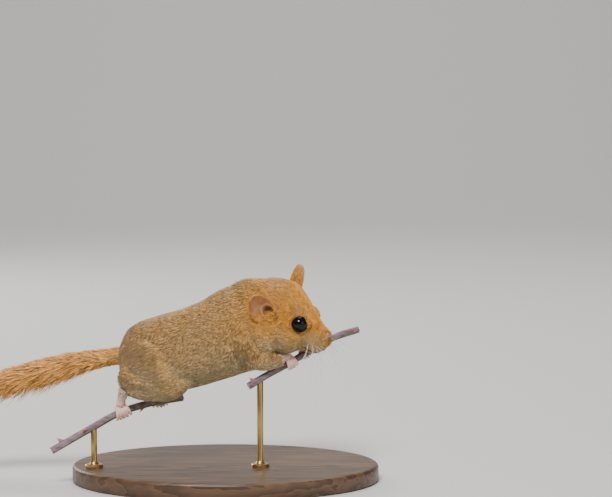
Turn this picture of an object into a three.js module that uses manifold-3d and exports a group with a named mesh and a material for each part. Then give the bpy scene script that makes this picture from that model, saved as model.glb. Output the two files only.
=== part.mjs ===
// A life-size hazel dormouse that stretches between two cut bramble stems, on a small display stand.
// Millimetres, +Z up. The nose points along +X and the animal's right side faces -Y.
// The origin is the centre of the underside of the stand's base. Heights in the tables below are
// measured from a level that lies DATUM beneath it, and the finished solids are lowered by that much.
import * as THREE from "three";
import { mergeVertices } from "three/addons/utils/BufferGeometryUtils.js";
import Module from "manifold-3d";

const wasm = await Module();
wasm.setup();

// Driving dimensions of the whole
const GAP = 0.3; // clearance between neighbouring pieces
const DATUM = 6;
const DEGREE = Math.PI / 180;

// Stand
const BASE_LENGTH = 108;
const BASE_DEPTH = 74;
const BASE_HEIGHT = 6;
const BASE_BEVEL = 1.4;
const ROD_RADIUS = 1.1;
const ROD_COLLAR_RADIUS = 3.2;
const ROD_COLLAR_HEIGHT = 2.2;
const REAR_ROD_ALONG = 0.3; // share of the stem's length where the rod meets it
const FRONT_ROD_ALONG = 0.13;

// Bramble stems: radius, and the points that each stem passes through
const STEM_RADIUS = 1.25;
const REAR_STEM = [
  [-60, -11.5, 18.4],
  [-48, -8.5, 25.0],
  [-36.4, -5.2, 31.0],
  [-25, 0.6, 33.6],
  [-15.5, 5.6, 34.4],
];
const FRONT_STEM = [
  [8.4, -8.6, 40.6],
  [15, -5.6, 44.2],
  [22.5, -1.6, 47.8],
  [30, 4.2, 51.4],
  [38, 10.2, 55.2],
  [47, 14.6, 57.6],
];
const PRICKLE_LENGTH = 2.6;
const PRICKLE_RADIUS = 0.75;

// Trunk: centre x, y, z, then half width, height above and depth below the centre
const TRUNK = [
  [-36.0, 0, 49.0, 10.5, 10.5, 11.0],
  [-31.0, 0, 49.3, 12.5, 12.2, 12.2],
  [-25.0, 0, 50.0, 14.0, 13.5, 13.0],
  [-18.0, 0, 51.2, 14.8, 14.3, 13.6],
  [-10.0, 0, 53.2, 14.8, 14.6, 13.6],
  [-2.0, 0, 56.2, 14.3, 15.0, 14.2],
  [6.0, 0.3, 59.6, 12.6, 16.1, 14.9],
  [13.0, 1.0, 61.8, 10.8, 15.9, 14.4],
  [19.0, 0.8, 62.6, 9.6, 13.4, 12.4],
  [25.0, 0.0, 62.2, 8.0, 10.0, 9.0],
];
const RUMP_ROUNDING = 0.16; // share of the trunk that rounds off at the rump
const SHOULDER_ROUNDING = 0.14;

// Head, in its own frame: forward, left, up, with its origin between the eyes
const HEAD_PLACE = [26.7, -1.4, 61.8];
const HEAD_YAW = 15;
const HEAD_PITCH = 16;
const HEAD_ROLL = 8;
// Forward place, height of the widest level, half width, top and bottom
const HEAD = [
  [-21.5, 0.5, 8.4, 9.0, -8.6],
  [-17.0, 0.4, 9.6, 11.2, -9.8],
  [-13.0, 0.0, 10.2, 12.7, -11.2],
  [-9.0, -0.4, 10.4, 13.4, -11.6],
  [-5.0, -0.8, 10.0, 12.8, -11.4],
  [-1.5, -1.1, 8.9, 10.4, -10.7],
  [1.5, -1.5, 7.4, 7.6, -9.6],
  [4.5, -2.0, 5.8, 4.8, -8.3],
  [7.5, -2.5, 5.0, 2.3, -7.2],
  [10.7, -2.9, 4.5, 0.3, -6.3],
];
const MUZZLE_ROUNDING = 0.1;
const OCCIPUT_ROUNDING = 0.2;
const EYE_RADIUS = 2.9;
const EYE_PLACE = [0.85, 6.3, 1.8];
const EYE_AXIS = [0.34, 0.92, 0.2];
const LID_RADIUS = 2.85;
const LID_THICKNESS = 0.5;

const EAR_LENGTH = 12.2;
const EAR_HALF_WIDTH = 4.1;
const EAR_CUP_DEPTH = 1.8;
const EAR_THICKNESS = 0.75;
// Each ear in the head's frame: its root, how far it leans forward and spreads as it rises,
// and the way its cup opens
const EAR_POSE = {
  right: { root: [-10.0, 10.9, 2.0], lean: -0.69, spread: 0.5, opens: [0.42, 0.9, -0.1] },
  left: { root: [-8.4, 9.4, 6.4], lean: -0.14, spread: 0.22, opens: [0.8, 0.6, -0.1] },
};

// Tail: centre line, then radius of the flesh
const TAIL = [
  [-33, 0, 50.6, 2.7],
  [-42, 0.6, 49.6, 2.7],
  [-52.5, 1.6, 47.8, 2.8],
  [-66, 2.8, 44.6, 2.7],
  [-79, 3.2, 41.0, 2.4],
  [-89, 2.6, 38.2, 1.9],
  [-94.5, 2.0, 36.9, 1.1],
];
const TAIL_ROWS = 7;
const TAIL_LOCKS_ROUND = 5;
const TAIL_LOCK_WIDTH = 4.2;
const TAIL_LOCK_THICKNESS = 0.8;

// Limbs: points with a radius at each
const THIGH = [
  [-27, 4.6, 54.5, 8.0],
  [-24.5, 6.2, 50.0, 9.8],
  [-21.5, 7.8, 45.4, 8.4],
  [-18.8, 8.8, 41.6, 6.0],
];
const SHIN = [
  [-12.2, 7.8, 43.4, 2.8],
  [-17.2, 8.8, 41.0, 4.9],
  [-22.5, 9.0, 40.2, 5.1],
  [-29.0, 8.8, 39.9, 4.6],
  [-34.6, 8.0, 40.0, 2.3],
];
// Flesh that joins thigh and shin: centre and reach of each ellipsoid
const HAUNCH = [
  [[-25, 8.0, 43.2], [11.2, 7.0, 7.8]],
  [[-30.4, 6.2, 44.2], [6.3, 6.1, 6.2]],
];
const UPPER_ARM = [
  [4.5, 5.8, 59.5, 6.2],
  [6.6, 7.2, 55.0, 6.0],
  [9.8, 8.2, 50.4, 3.8],
];
const FOREARM = [
  [8.2, 8.3, 50.2, 3.5],
  [14.5, 7.4, 49.2, 2.9],
  [19.4, 5.6, 49.4, 1.9],
];
const LEG_SKIN = 0.9; // how far outside a limb the cut that parts it from the body runs
const LEG_START = 4.5; // how far from the middle plane a leg's solid starts
const TOE_RADIUS = 0.62;
const CLAW_LENGTH = 1.3;

// Seeded random numbers, so that the locks differ but never change
let seed = 20417;
function random() {
  seed = (seed * 1664525 + 1013904223) % 4294967296;
  return seed / 4294967296;
}
const vary = (amount) => 1 + amount * (2 * random() - 1);

const vector = (list) => new THREE.Vector3(list[0], list[1], list[2]);
const between = (a, b, share) => a + (b - a) * share;
// A positive base raised to an exponent, with the sign kept
const signedPower = (value, exponent) =>
  Math.sign(value) * Math.abs(value) ** exponent;

// Uniform Catmull-Rom blend of rows of numbers, with u from 0 to 1
function blendRows(rows, u) {
  const last = rows.length - 1;
  const place = Math.min(Math.max(u, 0), 1) * last;
  const i = Math.min(Math.floor(place), last - 1);
  const f = place - i;
  const row = (k) => rows[Math.min(Math.max(k, 0), last)];
  return rows[i].map((p1, column) => {
    const p0 = row(i - 1)[column];
    const p2 = row(i + 1)[column];
    const p3 = row(i + 2)[column];
    const linear = (p2 - p0) * f;
    const square = (2 * p0 - 5 * p1 + 4 * p2 - p3) * f ** 2;
    const cube = (3 * p1 - p0 - 3 * p2 + p3) * f ** 3;
    return 0.5 * (2 * p1 + linear + square + cube);
  });
}

// Closes rings of points into one geometry, with a fan to the middle of each end ring
function loft(rings) {
  const sides = rings[0].length;
  const points = rings.flat();
  const faces = [];
  for (let r = 0; r + 1 < rings.length; r++)
    for (let s = 0; s < sides; s++) {
      const a = r * sides + s;
      const b = r * sides + ((s + 1) % sides);
      faces.push([a, b, b + sides], [a, b + sides, a + sides]);
    }
  for (const [first, turn] of [
    [0, false],
    [(rings.length - 1) * sides, true],
  ]) {
    const middle = points
      .slice(first, first + sides)
      .reduce((sum, p) => sum.add(p), new THREE.Vector3())
      .divideScalar(sides);
    points.push(middle);
    for (let s = 0; s < sides; s++) {
      const edge = [first + ((s + 1) % sides), first + s];
      faces.push([points.length - 1, ...(turn ? edge.reverse() : edge)]);
    }
  }
  const volume = faces.reduce((sum, [a, b, c]) => {
    const crossed = new THREE.Vector3().crossVectors(points[b], points[c]);
    return sum + points[a].dot(crossed);
  }, 0);
  const outward = volume > 0 ? faces : faces.map(([a, b, c]) => [a, c, b]);
  const geometry = new THREE.BufferGeometry();
  geometry.setFromPoints(points);
  geometry.setIndex(outward.flat());
  return geometry;
}

// A geometry as a solid that can be joined and cut
function toSolid(geometry) {
  const bare = geometry.clone();
  bare.deleteAttribute("normal");
  bare.deleteAttribute("uv");
  const merged = mergeVertices(bare, 1e-4);
  const mesh = new wasm.Mesh({
    numProp: 3,
    vertProperties: merged.attributes.position.array,
    triVerts: new Uint32Array(merged.index.array),
  });
  return new wasm.Manifold(mesh);
}

// The largest closed surface of a solid as a geometry
function toGeometry(solid) {
  const pieces = solid.decompose();
  const largest = pieces.reduce((a, b) => (a.volume() > b.volume() ? a : b));
  const mesh = largest.getMesh();
  const geometry = new THREE.BufferGeometry();
  const array = new Float32Array(mesh.vertProperties);
  geometry.setAttribute("position", new THREE.BufferAttribute(array, 3));
  geometry.setIndex(new THREE.BufferAttribute(new Uint32Array(mesh.triVerts), 1));
  return geometry;
}

const joined = (solids) => solids.reduce((a, b) => a.add(b));

// Rings perpendicular to a path; each row has x, y, z and then what sizesOf turns into three reaches
function sweep(rows, count, sides, sizesOf, power = 1) {
  const rings = [];
  for (let k = 0; k <= count; k++) {
    const u = (1 - Math.cos((Math.PI * k) / count)) / 2;
    const row = blendRows(rows, u);
    const step = 0.004;
    const ahead = vector(blendRows(rows, u + step));
    const behind = vector(blendRows(rows, u - step));
    const along = ahead.sub(behind).normalize();
    const upright = Math.abs(along.z) > 0.9 ? vector([1, 0, 0]) : vector([0, 0, 1]);
    const side = new THREE.Vector3().crossVectors(upright, along).normalize();
    const up = new THREE.Vector3().crossVectors(along, side);
    const [across, above, below] = sizesOf(row, u);
    const ring = [];
    for (let s = 0; s < sides; s++) {
      const angle = (2 * Math.PI * s) / sides;
      const wide = signedPower(Math.cos(angle), power) * across;
      const tall = signedPower(Math.sin(angle), power);
      const reach = tall * (tall > 0 ? above : below);
      const point = vector(row).addScaledVector(side, wide).addScaledVector(up, reach);
      ring.push(point);
    }
    rings.push(ring);
  }
  return loft(rings);
}

// How far a rounded end has opened, from 0.03 at its tip to 1
function opening(share, rounding) {
  const t = Math.min(share / rounding, 1);
  return Math.max(Math.sqrt(1 - (1 - t) ** 2), 0.03);
}

// A round limb through points with a radius each
function limb(rows, count, sides, grow = 0) {
  const ends = 0.06;
  return sweep(rows, count, sides, (row, u) => {
    const radius = (row[3] + grow) * Math.min(opening(u, ends), opening(1 - u, ends));
    return [radius, radius, radius];
  });
}

function trunkSolid(grow) {
  const solid = sweep(
    TRUNK,
    18,
    20,
    (row, u) => {
      const open = opening(u, RUMP_ROUNDING) * opening(1 - u, SHOULDER_ROUNDING);
      return [row[3], row[4], row[5]].map((reach) => (reach + grow) * open);
    },
    0.92,
  );
  return toSolid(solid);
}

// Head frame to the model's frame
const headMatrix = (() => {
  const [yaw, pitch, roll] = [HEAD_YAW, HEAD_PITCH, HEAD_ROLL].map((a) => a * DEGREE);
  const matrix = new THREE.Matrix4().makeTranslation(vector(HEAD_PLACE));
  matrix.multiply(new THREE.Matrix4().makeRotationZ(-yaw));
  matrix.multiply(new THREE.Matrix4().makeRotationY(pitch));
  return matrix.multiply(new THREE.Matrix4().makeRotationX(roll));
})();
const inHead = (solidGeometry) => solidGeometry.applyMatrix4(headMatrix);

// Point of the head's surface, in its own frame, at a share of its length and an angle round it
function headPoint(u, angle, grow = 0) {
  const [forward, level, halfWidth, top, bottom] = blendRows(HEAD, u);
  const open = opening(1 - u, MUZZLE_ROUNDING) * opening(u, OCCIPUT_ROUNDING);
  const wide = signedPower(Math.cos(angle), 0.94) * (halfWidth + grow) * open;
  const tall = signedPower(Math.sin(angle), 0.94);
  const reach = tall > 0 ? top - level : level - bottom;
  return new THREE.Vector3(forward, wide, level + tall * (reach + grow) * open);
}

function headLoft(grow) {
  const count = 20;
  const sides = 20;
  const rings = [];
  for (let k = 0; k <= count; k++) {
    const u = (1 - Math.cos((Math.PI * k) / count)) / 2;
    const ring = [];
    for (let s = 0; s < sides; s++) ring.push(headPoint(u, (2 * Math.PI * s) / sides, grow));
    rings.push(ring);
  }
  return toSolid(inHead(loft(rings)));
}

// An ellipsoid in the head's frame
function headBulge(centre, reaches, detail = 7) {
  const ball = new THREE.SphereGeometry(1, Math.round(detail * 1.4), detail);
  ball.scale(...reaches);
  ball.translate(...centre);
  return toSolid(inHead(ball));
}

// Both sides of something in the head's frame; side is 1 on the animal's left and -1 on its right
const bothSides = (make) => [1, -1].map(make);

// Whisker pads, cheeks, nose pad and chin
function facialForms(grow) {
  const bulge = (centre, reaches, detail) =>
    headBulge(centre, reaches.map((reach) => reach + grow), detail);
  const pads = bothSides((side) => bulge([6.9, side * 2.5, -3.6], [4.7, 3.8, 4.3], 8));
  const cheeks = bothSides((side) => bulge([-4.8, side * 5.0, -4.2], [7.6, 4.9, 6.0], 9));
  const nose = bulge([10.1, 0, -1.4], [0.85, 1.3, 1.0], 6);
  const chin = bulge([5.4, 0, -7.0], [4.2, 3.0, 2.2]);
  return joined([...pads, ...cheeks, nose, chin]);
}

// Rounded rim round each eye, square to the way the eye looks
function lidRing(side) {
  const ring = new THREE.TorusGeometry(LID_RADIUS, LID_THICKNESS, 5, 16);
  const axis = vector([EYE_AXIS[0], side * EYE_AXIS[1], EYE_AXIS[2]]).normalize();
  const turn = new THREE.Quaternion().setFromUnitVectors(vector([0, 0, 1]), axis);
  ring.applyQuaternion(turn);
  const place = eyeCentre(side).addScaledVector(axis, 1.25);
  ring.translate(place.x, place.y, place.z);
  return toSolid(inHead(ring));
}

const eyeCentre = (side) => vector([EYE_PLACE[0], side * EYE_PLACE[1], EYE_PLACE[2]]);

function eyeBall(side, radius) {
  const ball = new THREE.SphereGeometry(radius, 13, 9);
  const centre = eyeCentre(side);
  ball.translate(centre.x, centre.y, centre.z);
  return toSolid(inHead(ball));
}

// The line of the mouth: a shallow groove from one corner round under the nose to the other
function mouthGroove() {
  const rows = [];
  const points = 13;
  for (let k = 0; k < points; k++) {
    const across = (2 * k) / (points - 1) - 1;
    const forward = 10.9 - 6.4 * Math.abs(across) ** 1.8;
    const drop = -6.0 - 0.6 * Math.abs(across);
    rows.push([forward, 5.0 * signedPower(across, 0.8), drop, 0.42]);
  }
  const rings = [];
  for (const [forward, lateral, height, radius] of rows) {
    const out = new THREE.Vector3(0.55, Math.sign(lateral) * Math.min(Math.abs(lateral), 1), 0);
    out.normalize();
    const up = vector([0, 0, 1]);
    const middle = vector([forward, lateral, height]);
    const ring = [];
    for (let s = 0; s < 4; s++) {
      const angle = (Math.PI / 2) * s;
      const outward = Math.cos(angle) * 1.5;
      const upward = Math.sin(angle) * radius;
      ring.push(middle.clone().addScaledVector(out, outward).addScaledVector(up, upward));
    }
    rings.push(ring);
  }
  return toSolid(inHead(loft(rings)));
}

function nostril(side) {
  return headBulge([10.7, side * 0.72, -1.4], [0.7, 0.4, 0.34], 5);
}

// Ear: rings from root to tip, each with a front and a back, bent into a cup
function earSolid(side, pose) {
  const root = vector([pose.root[0], side * pose.root[1], pose.root[2]]);
  const point = vector([pose.lean, side * pose.spread, 1]).normalize();
  const facing = vector([pose.opens[0], side * pose.opens[1], pose.opens[2]]);
  facing.addScaledVector(point, -facing.dot(point)).normalize();
  const wide = new THREE.Vector3().crossVectors(point, facing);
  const rings = [];
  const steps = 9;
  const across = 7;
  for (let k = 0; k <= steps; k++) {
    const v = k / steps;
    // Rises as a rounded leaf: narrow at the root, widest past the middle
    const leaf = Math.sqrt(Math.max(1 - ((v - 0.49) / 0.51) ** 2, 0));
    const half = EAR_HALF_WIDTH * Math.max(leaf, between(0.82, 0.06, v));
    const thickness = between(EAR_THICKNESS * 1.5, EAR_THICKNESS * 0.7, v);
    const ring = [];
    for (const face of [1, -1])
      for (let s = 0; s < across; s++) {
        const w = face * (1 - (2 * s) / (across - 1)); // from rim to rim, and back
        const cup = EAR_CUP_DEPTH * (w ** 2 - 0.3) * (half / EAR_HALF_WIDTH);
        const curl = 1.5 * v ** 3; // the tip bends forward a little
        const skin = (face * thickness * Math.sqrt(Math.max(1 - w ** 2, 0.12))) / 2;
        const place = root.clone().addScaledVector(point, (v - 0.14) * EAR_LENGTH);
        place.addScaledVector(wide, w * half);
        ring.push(place.addScaledVector(facing, cup + curl + skin));
      }
    rings.push(ring);
  }
  return toSolid(inHead(loft(rings)));
}

// Tail: flesh with locks that point back along it and spread, longest at the sides and below
function tailCore(grow) {
  return toSolid(limb(TAIL, 18, 8, grow));
}

function tailLock(u, angle) {
  const row = blendRows(TAIL, u);
  const step = 0.01;
  const along = vector(blendRows(TAIL, u + step)).sub(vector(blendRows(TAIL, u - step)));
  along.normalize();
  const side = new THREE.Vector3().crossVectors(vector([0, 0, 1]), along).normalize();
  const up = new THREE.Vector3().crossVectors(along, side);
  const out = side.multiplyScalar(Math.cos(angle)).addScaledVector(up, Math.sin(angle));
  const across = new THREE.Vector3().crossVectors(along, out);
  const below = 0.5 - 0.5 * Math.sin(angle);
  const length = between(4.4, between(5.2, 7.2, below), u) * vary(0.1);
  const lift = between(between(0.3, 0.62, below), between(0.5, 0.3, u), u);
  const rings = [];
  // Share of the length, of the lift, and of the width at each ring
  for (const [share, rise, width] of [
    [0, 0, 0.8],
    [0.5, 0.6, 1],
    [1, 1, 0.12],
  ]) {
    const start = vector(row).addScaledVector(out, row[3] * 0.45);
    start.addScaledVector(along, length * share);
    start.addScaledVector(out, length * lift * rise);
    const half = (TAIL_LOCK_WIDTH * width) / 2;
    const thick = (TAIL_LOCK_THICKNESS * Math.max(width, 0.3)) / 2;
    rings.push([
      start.clone().addScaledVector(across, half),
      start.clone().addScaledVector(out, thick),
      start.clone().addScaledVector(across, -half),
      start.clone().addScaledVector(out, -thick),
    ]);
  }
  return toSolid(loft(rings));
}

function tailLocks() {
  const locks = [];
  for (let r = 0; r < TAIL_ROWS; r++)
    for (let k = 0; k < TAIL_LOCKS_ROUND; k++) {
      const u = between(0.16, 0.955, (r + 0.5 * (k % 2)) / TAIL_ROWS);
      const turn = (k + 0.5 * (r % 2) + 0.25 * (random() - 0.5)) / TAIL_LOCKS_ROUND;
      locks.push(tailLock(u, 2 * Math.PI * turn));
    }
  // A brush of locks carries the tip on
  for (let k = 0; k < 4; k++) locks.push(tailLock(0.975, 2 * Math.PI * (k / 4)));
  return joined(locks);
}

// Stem: a round tube with prickles, cut square at both ends
function stemFrame(rows, u) {
  const step = 0.01;
  const centre = vector(blendRows(rows, u));
  const along = vector(blendRows(rows, u + step)).sub(vector(blendRows(rows, u - step)));
  return { centre, along: along.normalize() };
}

function stemTube(rows, radius, count = 14) {
  const sides = 8;
  const rings = [];
  for (let k = 0; k <= count; k++) {
    const { centre, along } = stemFrame(rows, k / count);
    const side = new THREE.Vector3().crossVectors(vector([0, 0, 1]), along).normalize();
    const up = new THREE.Vector3().crossVectors(along, side);
    const ring = [];
    for (let s = 0; s < sides; s++) {
      const angle = (2 * Math.PI * s) / sides;
      const point = centre.clone().addScaledVector(side, Math.cos(angle) * radius);
      ring.push(point.addScaledVector(up, Math.sin(angle) * radius));
    }
    rings.push(ring);
  }
  return toSolid(loft(rings));
}

// A prickle: a broad foot along the stem, then a thin point that hooks back
function prickle(rows, u, angle) {
  const { centre, along } = stemFrame(rows, u);
  const side = new THREE.Vector3().crossVectors(vector([0, 0, 1]), along).normalize();
  const up = new THREE.Vector3().crossVectors(along, side);
  const out = side.multiplyScalar(Math.cos(angle)).addScaledVector(up, Math.sin(angle));
  const across = new THREE.Vector3().crossVectors(along, out);
  const rings = [];
  for (const [rise, back, size] of [
    [0, 0, 1],
    [0.35, 0.1, 0.7],
    [0.7, 0.35, 0.38],
    [1, 0.75, 0.08],
  ]) {
    const place = centre.clone().addScaledVector(out, STEM_RADIUS * 0.7 + rise * PRICKLE_LENGTH);
    place.addScaledVector(along, -back * PRICKLE_LENGTH * 0.6);
    const ring = [];
    for (let s = 0; s < 5; s++) {
      const turn = (2 * Math.PI * s) / 5;
      const lengthwise = Math.cos(turn) * PRICKLE_RADIUS * size * 1.7;
      const sideways = Math.sin(turn) * PRICKLE_RADIUS * size * 0.8;
      ring.push(
        place.clone().addScaledVector(along, lengthwise).addScaledVector(across, sideways),
      );
    }
    rings.push(ring);
  }
  return toSolid(loft(rings));
}

function stemSolid(rows, prickles) {
  const thorns = prickles.map(([u, angle]) => prickle(rows, u, angle * DEGREE));
  return joined([stemTube(rows, STEM_RADIUS), ...thorns]);
}

// A foot that grips a stem: an instep from the ankle to the ball, then toes that curl round the stem
function gripFoot({ rows, u, ankle, ankleRadius, out, toes, spread, from, to, palm }) {
  const { centre, along } = stemFrame(rows, u);
  const outward = vector(out).addScaledVector(along, -vector(out).dot(along)).normalize();
  const up = new THREE.Vector3().crossVectors(along, outward);
  if (up.z < 0) up.negate();
  const distance = STEM_RADIUS + GAP + TOE_RADIUS;
  const round = (degrees, away, shift) =>
    centre
      .clone()
      .addScaledVector(outward, Math.cos(degrees * DEGREE) * away)
      .addScaledVector(up, Math.sin(degrees * DEGREE) * away)
      .addScaledVector(along, shift);
  const ball = round(from, distance + palm * 0.55, 0);
  const middle = vector(ankle).lerp(ball, 0.55);
  const instep = limb(
    [
      [...ankle, ankleRadius],
      [middle.x, middle.y, middle.z, between(ankleRadius, palm, 0.45)],
      [ball.x, ball.y, ball.z, palm],
    ],
    5,
    8,
  );
  const pieces = [toSolid(instep)];
  for (let k = 0; k < toes; k++) {
    const fan = toes > 1 ? (2 * k) / (toes - 1) - 1 : 0;
    const shift = fan * spread;
    const length = between(1, 0.82, Math.abs(fan));
    const toeRows = [0, 0.28, 0.52, 0.76, 1].map((share) => {
      const angle = between(from, from + (to - from) * length, share);
      const away = distance + (share === 0 ? palm * 0.4 : 0.06 * Math.sin(share * 9));
      const place = round(angle, away, shift * between(0.55, 1, share));
      return [place.x, place.y, place.z, TOE_RADIUS * between(1.12, 0.86, share)];
    });
    pieces.push(toSolid(limb(toeRows, 5, 5)));
    // A small claw carries the toe on
    const end = from + (to - from) * length;
    const clawRows = [0, 0.5, 1].map((share) => {
      const bend = end + (share * 26 - 6) * Math.sign(to - from);
      const place = round(bend, distance + 0.1 * share, shift);
      return [place.x, place.y, place.z, between(0.34, 0.07, share) * (CLAW_LENGTH / 1.3)];
    });
    pieces.push(toSolid(limb(clawRows, 2, 4)));
  }
  return joined(pieces).subtract(stemTube(rows, STEM_RADIUS + GAP * 0.9));
}

const mirrored = (rows) => rows.map(([x, y, z, r]) => [x, -y, z, r]);

// Each leg is two runs that meet at the knee or elbow, and a hind leg has a haunch behind them.
// The left feet step further along the stems.
const LEFT_SHIN = [
  [-12.4, 7.8, 43.2, 2.8],
  [-17.4, 8.8, 40.8, 4.9],
  [-22.0, 8.6, 39.8, 4.4],
  [-26.4, 8.0, 39.2, 3.4],
  [-30.2, 6.8, 38.8, 2.2],
];
const LEFT_UPPER_ARM = [
  [6.5, 5.8, 59.5, 6.2],
  [10.5, 7.4, 55.8, 5.6],
  [15.0, 8.4, 52.9, 3.6],
];
const LEFT_FOREARM = [
  [13.2, 8.6, 53.2, 3.5],
  [19.5, 8.4, 52.3, 2.8],
  [24.8, 6.8, 53.0, 1.8],
];

const hindFootRight = gripFoot({
  rows: REAR_STEM,
  u: 0.505,
  ankle: [-35.0, -8.2, 39.0],
  ankleRadius: 2.0,
  out: [0, -1, 0],
  toes: 5,
  spread: 2.7,
  from: 62,
  to: -95,
  palm: 1.75,
});
const hindFootLeft = gripFoot({
  rows: REAR_STEM,
  u: 0.8,
  ankle: [-30.0, 6.6, 38.2],
  ankleRadius: 2.0,
  out: [0, 1, 0],
  toes: 5,
  spread: 2.6,
  from: 70,
  to: -85,
  palm: 1.5,
});
const foreFootRight = gripFoot({
  rows: FRONT_STEM,
  u: 0.4,
  ankle: [19.3, -6.0, 49.5],
  ankleRadius: 1.75,
  out: [0, -1, 0],
  toes: 4,
  spread: 1.9,
  from: 66,
  to: -75,
  palm: 1.4,
});
const foreFootLeft = gripFoot({
  rows: FRONT_STEM,
  u: 0.565,
  ankle: [24.9, 6.9, 53.2],
  ankleRadius: 1.65,
  out: [0, 1, 0],
  toes: 4,
  spread: 1.9,
  from: 78,
  to: -60,
  palm: 1.3,
});

// Everything behind a plane, as a large block whose front face lies on it
function behind(point, normal) {
  const size = 300;
  const block = new THREE.BoxGeometry(size, size, size);
  block.translate(0, 0, -size / 2);
  const turn = new THREE.Quaternion().setFromUnitVectors(vector([0, 0, 1]), vector(normal).normalize());
  block.applyQuaternion(turn);
  block.translate(...point);
  return toSolid(block);
}

// Body planes: torso, then a short neck, then head
const NECK_NORMAL = [0.93, -0.2, -0.1];
const NECK_BACK = [9.5, 0, 60];
const NECK_FRONT = [14.0, 0, 60];
const shifted = (point, distance) =>
  vector(point).addScaledVector(vector(NECK_NORMAL).normalize(), distance).toArray();

const stems = {
  rear: stemSolid(REAR_STEM, [
    [0.1, 60],
    [0.24, 150],
    [0.66, -60],
    [0.93, 10],
  ]),
  front: stemSolid(FRONT_STEM, [
    [0.07, 110],
    [0.68, -40],
    [0.78, 70],
    [0.93, 150],
  ]),
};

const headForm = joined([headLoft(0), facialForms(0)]);
const coat = trunkSolid(0).add(headForm);
const coatClearance = joined([trunkSolid(GAP), headLoft(GAP), facialForms(GAP)]);
const ears = {
  right: earSolid(-1, EAR_POSE.right),
  left: earSolid(1, EAR_POSE.left),
};
const torsoSide = behind(shifted(NECK_BACK, 0), NECK_NORMAL);
const neckStart = behind(shifted(NECK_BACK, GAP), NECK_NORMAL);
const neckEnd = behind(NECK_FRONT, NECK_NORMAL);
const headStart = behind(shifted(NECK_FRONT, GAP), NECK_NORMAL);

const legRows = {
  hind_leg_right: [mirrored(THIGH), mirrored(SHIN)],
  hind_leg_left: [THIGH, LEFT_SHIN],
  fore_leg_right: [mirrored(UPPER_ARM), mirrored(FOREARM)],
  fore_leg_left: [LEFT_UPPER_ARM, LEFT_FOREARM],
};
// A leg's runs as one solid, kept on its own side of the body
function legSolid(name, grow) {
  const side = name.endsWith("left") ? 1 : -1;
  const half = behind([0, side * (LEG_START - grow), 0], [0, -side, 0]);
  const forms = legRows[name].map((run) => toSolid(limb(run, 7, 12, grow)));
  if (name.startsWith("hind"))
    for (const [[x, y, z], reaches] of HAUNCH) {
      const flesh = new THREE.SphereGeometry(1, 14, 10);
      flesh.scale(...reaches.map((reach) => reach + grow));
      flesh.translate(x, side * y, z);
      forms.push(toSolid(flesh));
    }
  return joined(forms).intersect(half);
}
const wholeLegs = joined(Object.keys(legRows).map((name) => legSolid(name, 0)));
const legsClearance = joined(Object.keys(legRows).map((name) => legSolid(name, LEG_SKIN + GAP)));
const footOf = {
  hind_leg_right: hindFootRight,
  hind_leg_left: hindFootLeft,
  fore_leg_right: foreFootRight,
  fore_leg_left: foreFootLeft,
};
// The plane that parts each foot from its leg: a point, and the way from leg to foot
const anklePlane = {
  hind_leg_right: [[-34.6, -8.2, 38.4], [-0.55, 0.1, -0.83]],
  hind_leg_left: [[-29.2, 6.7, 37.9], [-0.2, -0.5, -0.84]],
  fore_leg_right: [[18.6, -6.3, 49.4], [0.9, 0.35, -0.25]],
  fore_leg_left: [[24.2, 6.9, 53.1], [0.85, -0.2, -0.45]],
};

const materials = {
  coat: new THREE.MeshStandardMaterial({ color: 0xc08a45, roughness: 0.85 }),
  face: new THREE.MeshStandardMaterial({ color: 0xcf8a35, roughness: 0.85 }),
  tail: new THREE.MeshStandardMaterial({ color: 0xbf6f2a, roughness: 0.85 }),
  bare: new THREE.MeshStandardMaterial({ color: 0xdba58e, roughness: 0.6 }),
  eye: new THREE.MeshStandardMaterial({ color: 0x0b0807, roughness: 0.08 }),
  stem: new THREE.MeshStandardMaterial({ color: 0x6d5463, roughness: 0.6 }),
  wood: new THREE.MeshStandardMaterial({ color: 0x4a3424, roughness: 0.5 }),
  rod: new THREE.MeshStandardMaterial({ color: 0xb08d57, roughness: 0.3, metalness: 1 }),
};

const model = new THREE.Group();
function add(name, solid, material) {
  const mesh = new THREE.Mesh(toGeometry(solid.translate([0, 0, -DATUM])), material);
  mesh.name = name;
  model.add(mesh);
}

// Head: cut clear of the neck, the ears' roots sit on it, the eyes sit in it
function buildHead() {
  let head = joined([headForm, trunkSolid(0)]).subtract(headStart).subtract(legsClearance);
  head = joined([head, ...bothSides((side) => lidRing(side))]);
  head = head.subtract(joined(bothSides((side) => eyeBall(side, EYE_RADIUS + GAP))));
  head = head.subtract(mouthGroove());
  head = head.subtract(joined(bothSides((side) => nostril(side))));
  add("head", head, materials.face);
  add("eye_right", eyeBall(-1, EYE_RADIUS), materials.eye);
  add("eye_left", eyeBall(1, EYE_RADIUS), materials.eye);
  add("ear_right", ears.right.subtract(coatClearance), materials.bare);
  add("ear_left", ears.left.subtract(coatClearance), materials.bare);
}

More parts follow.
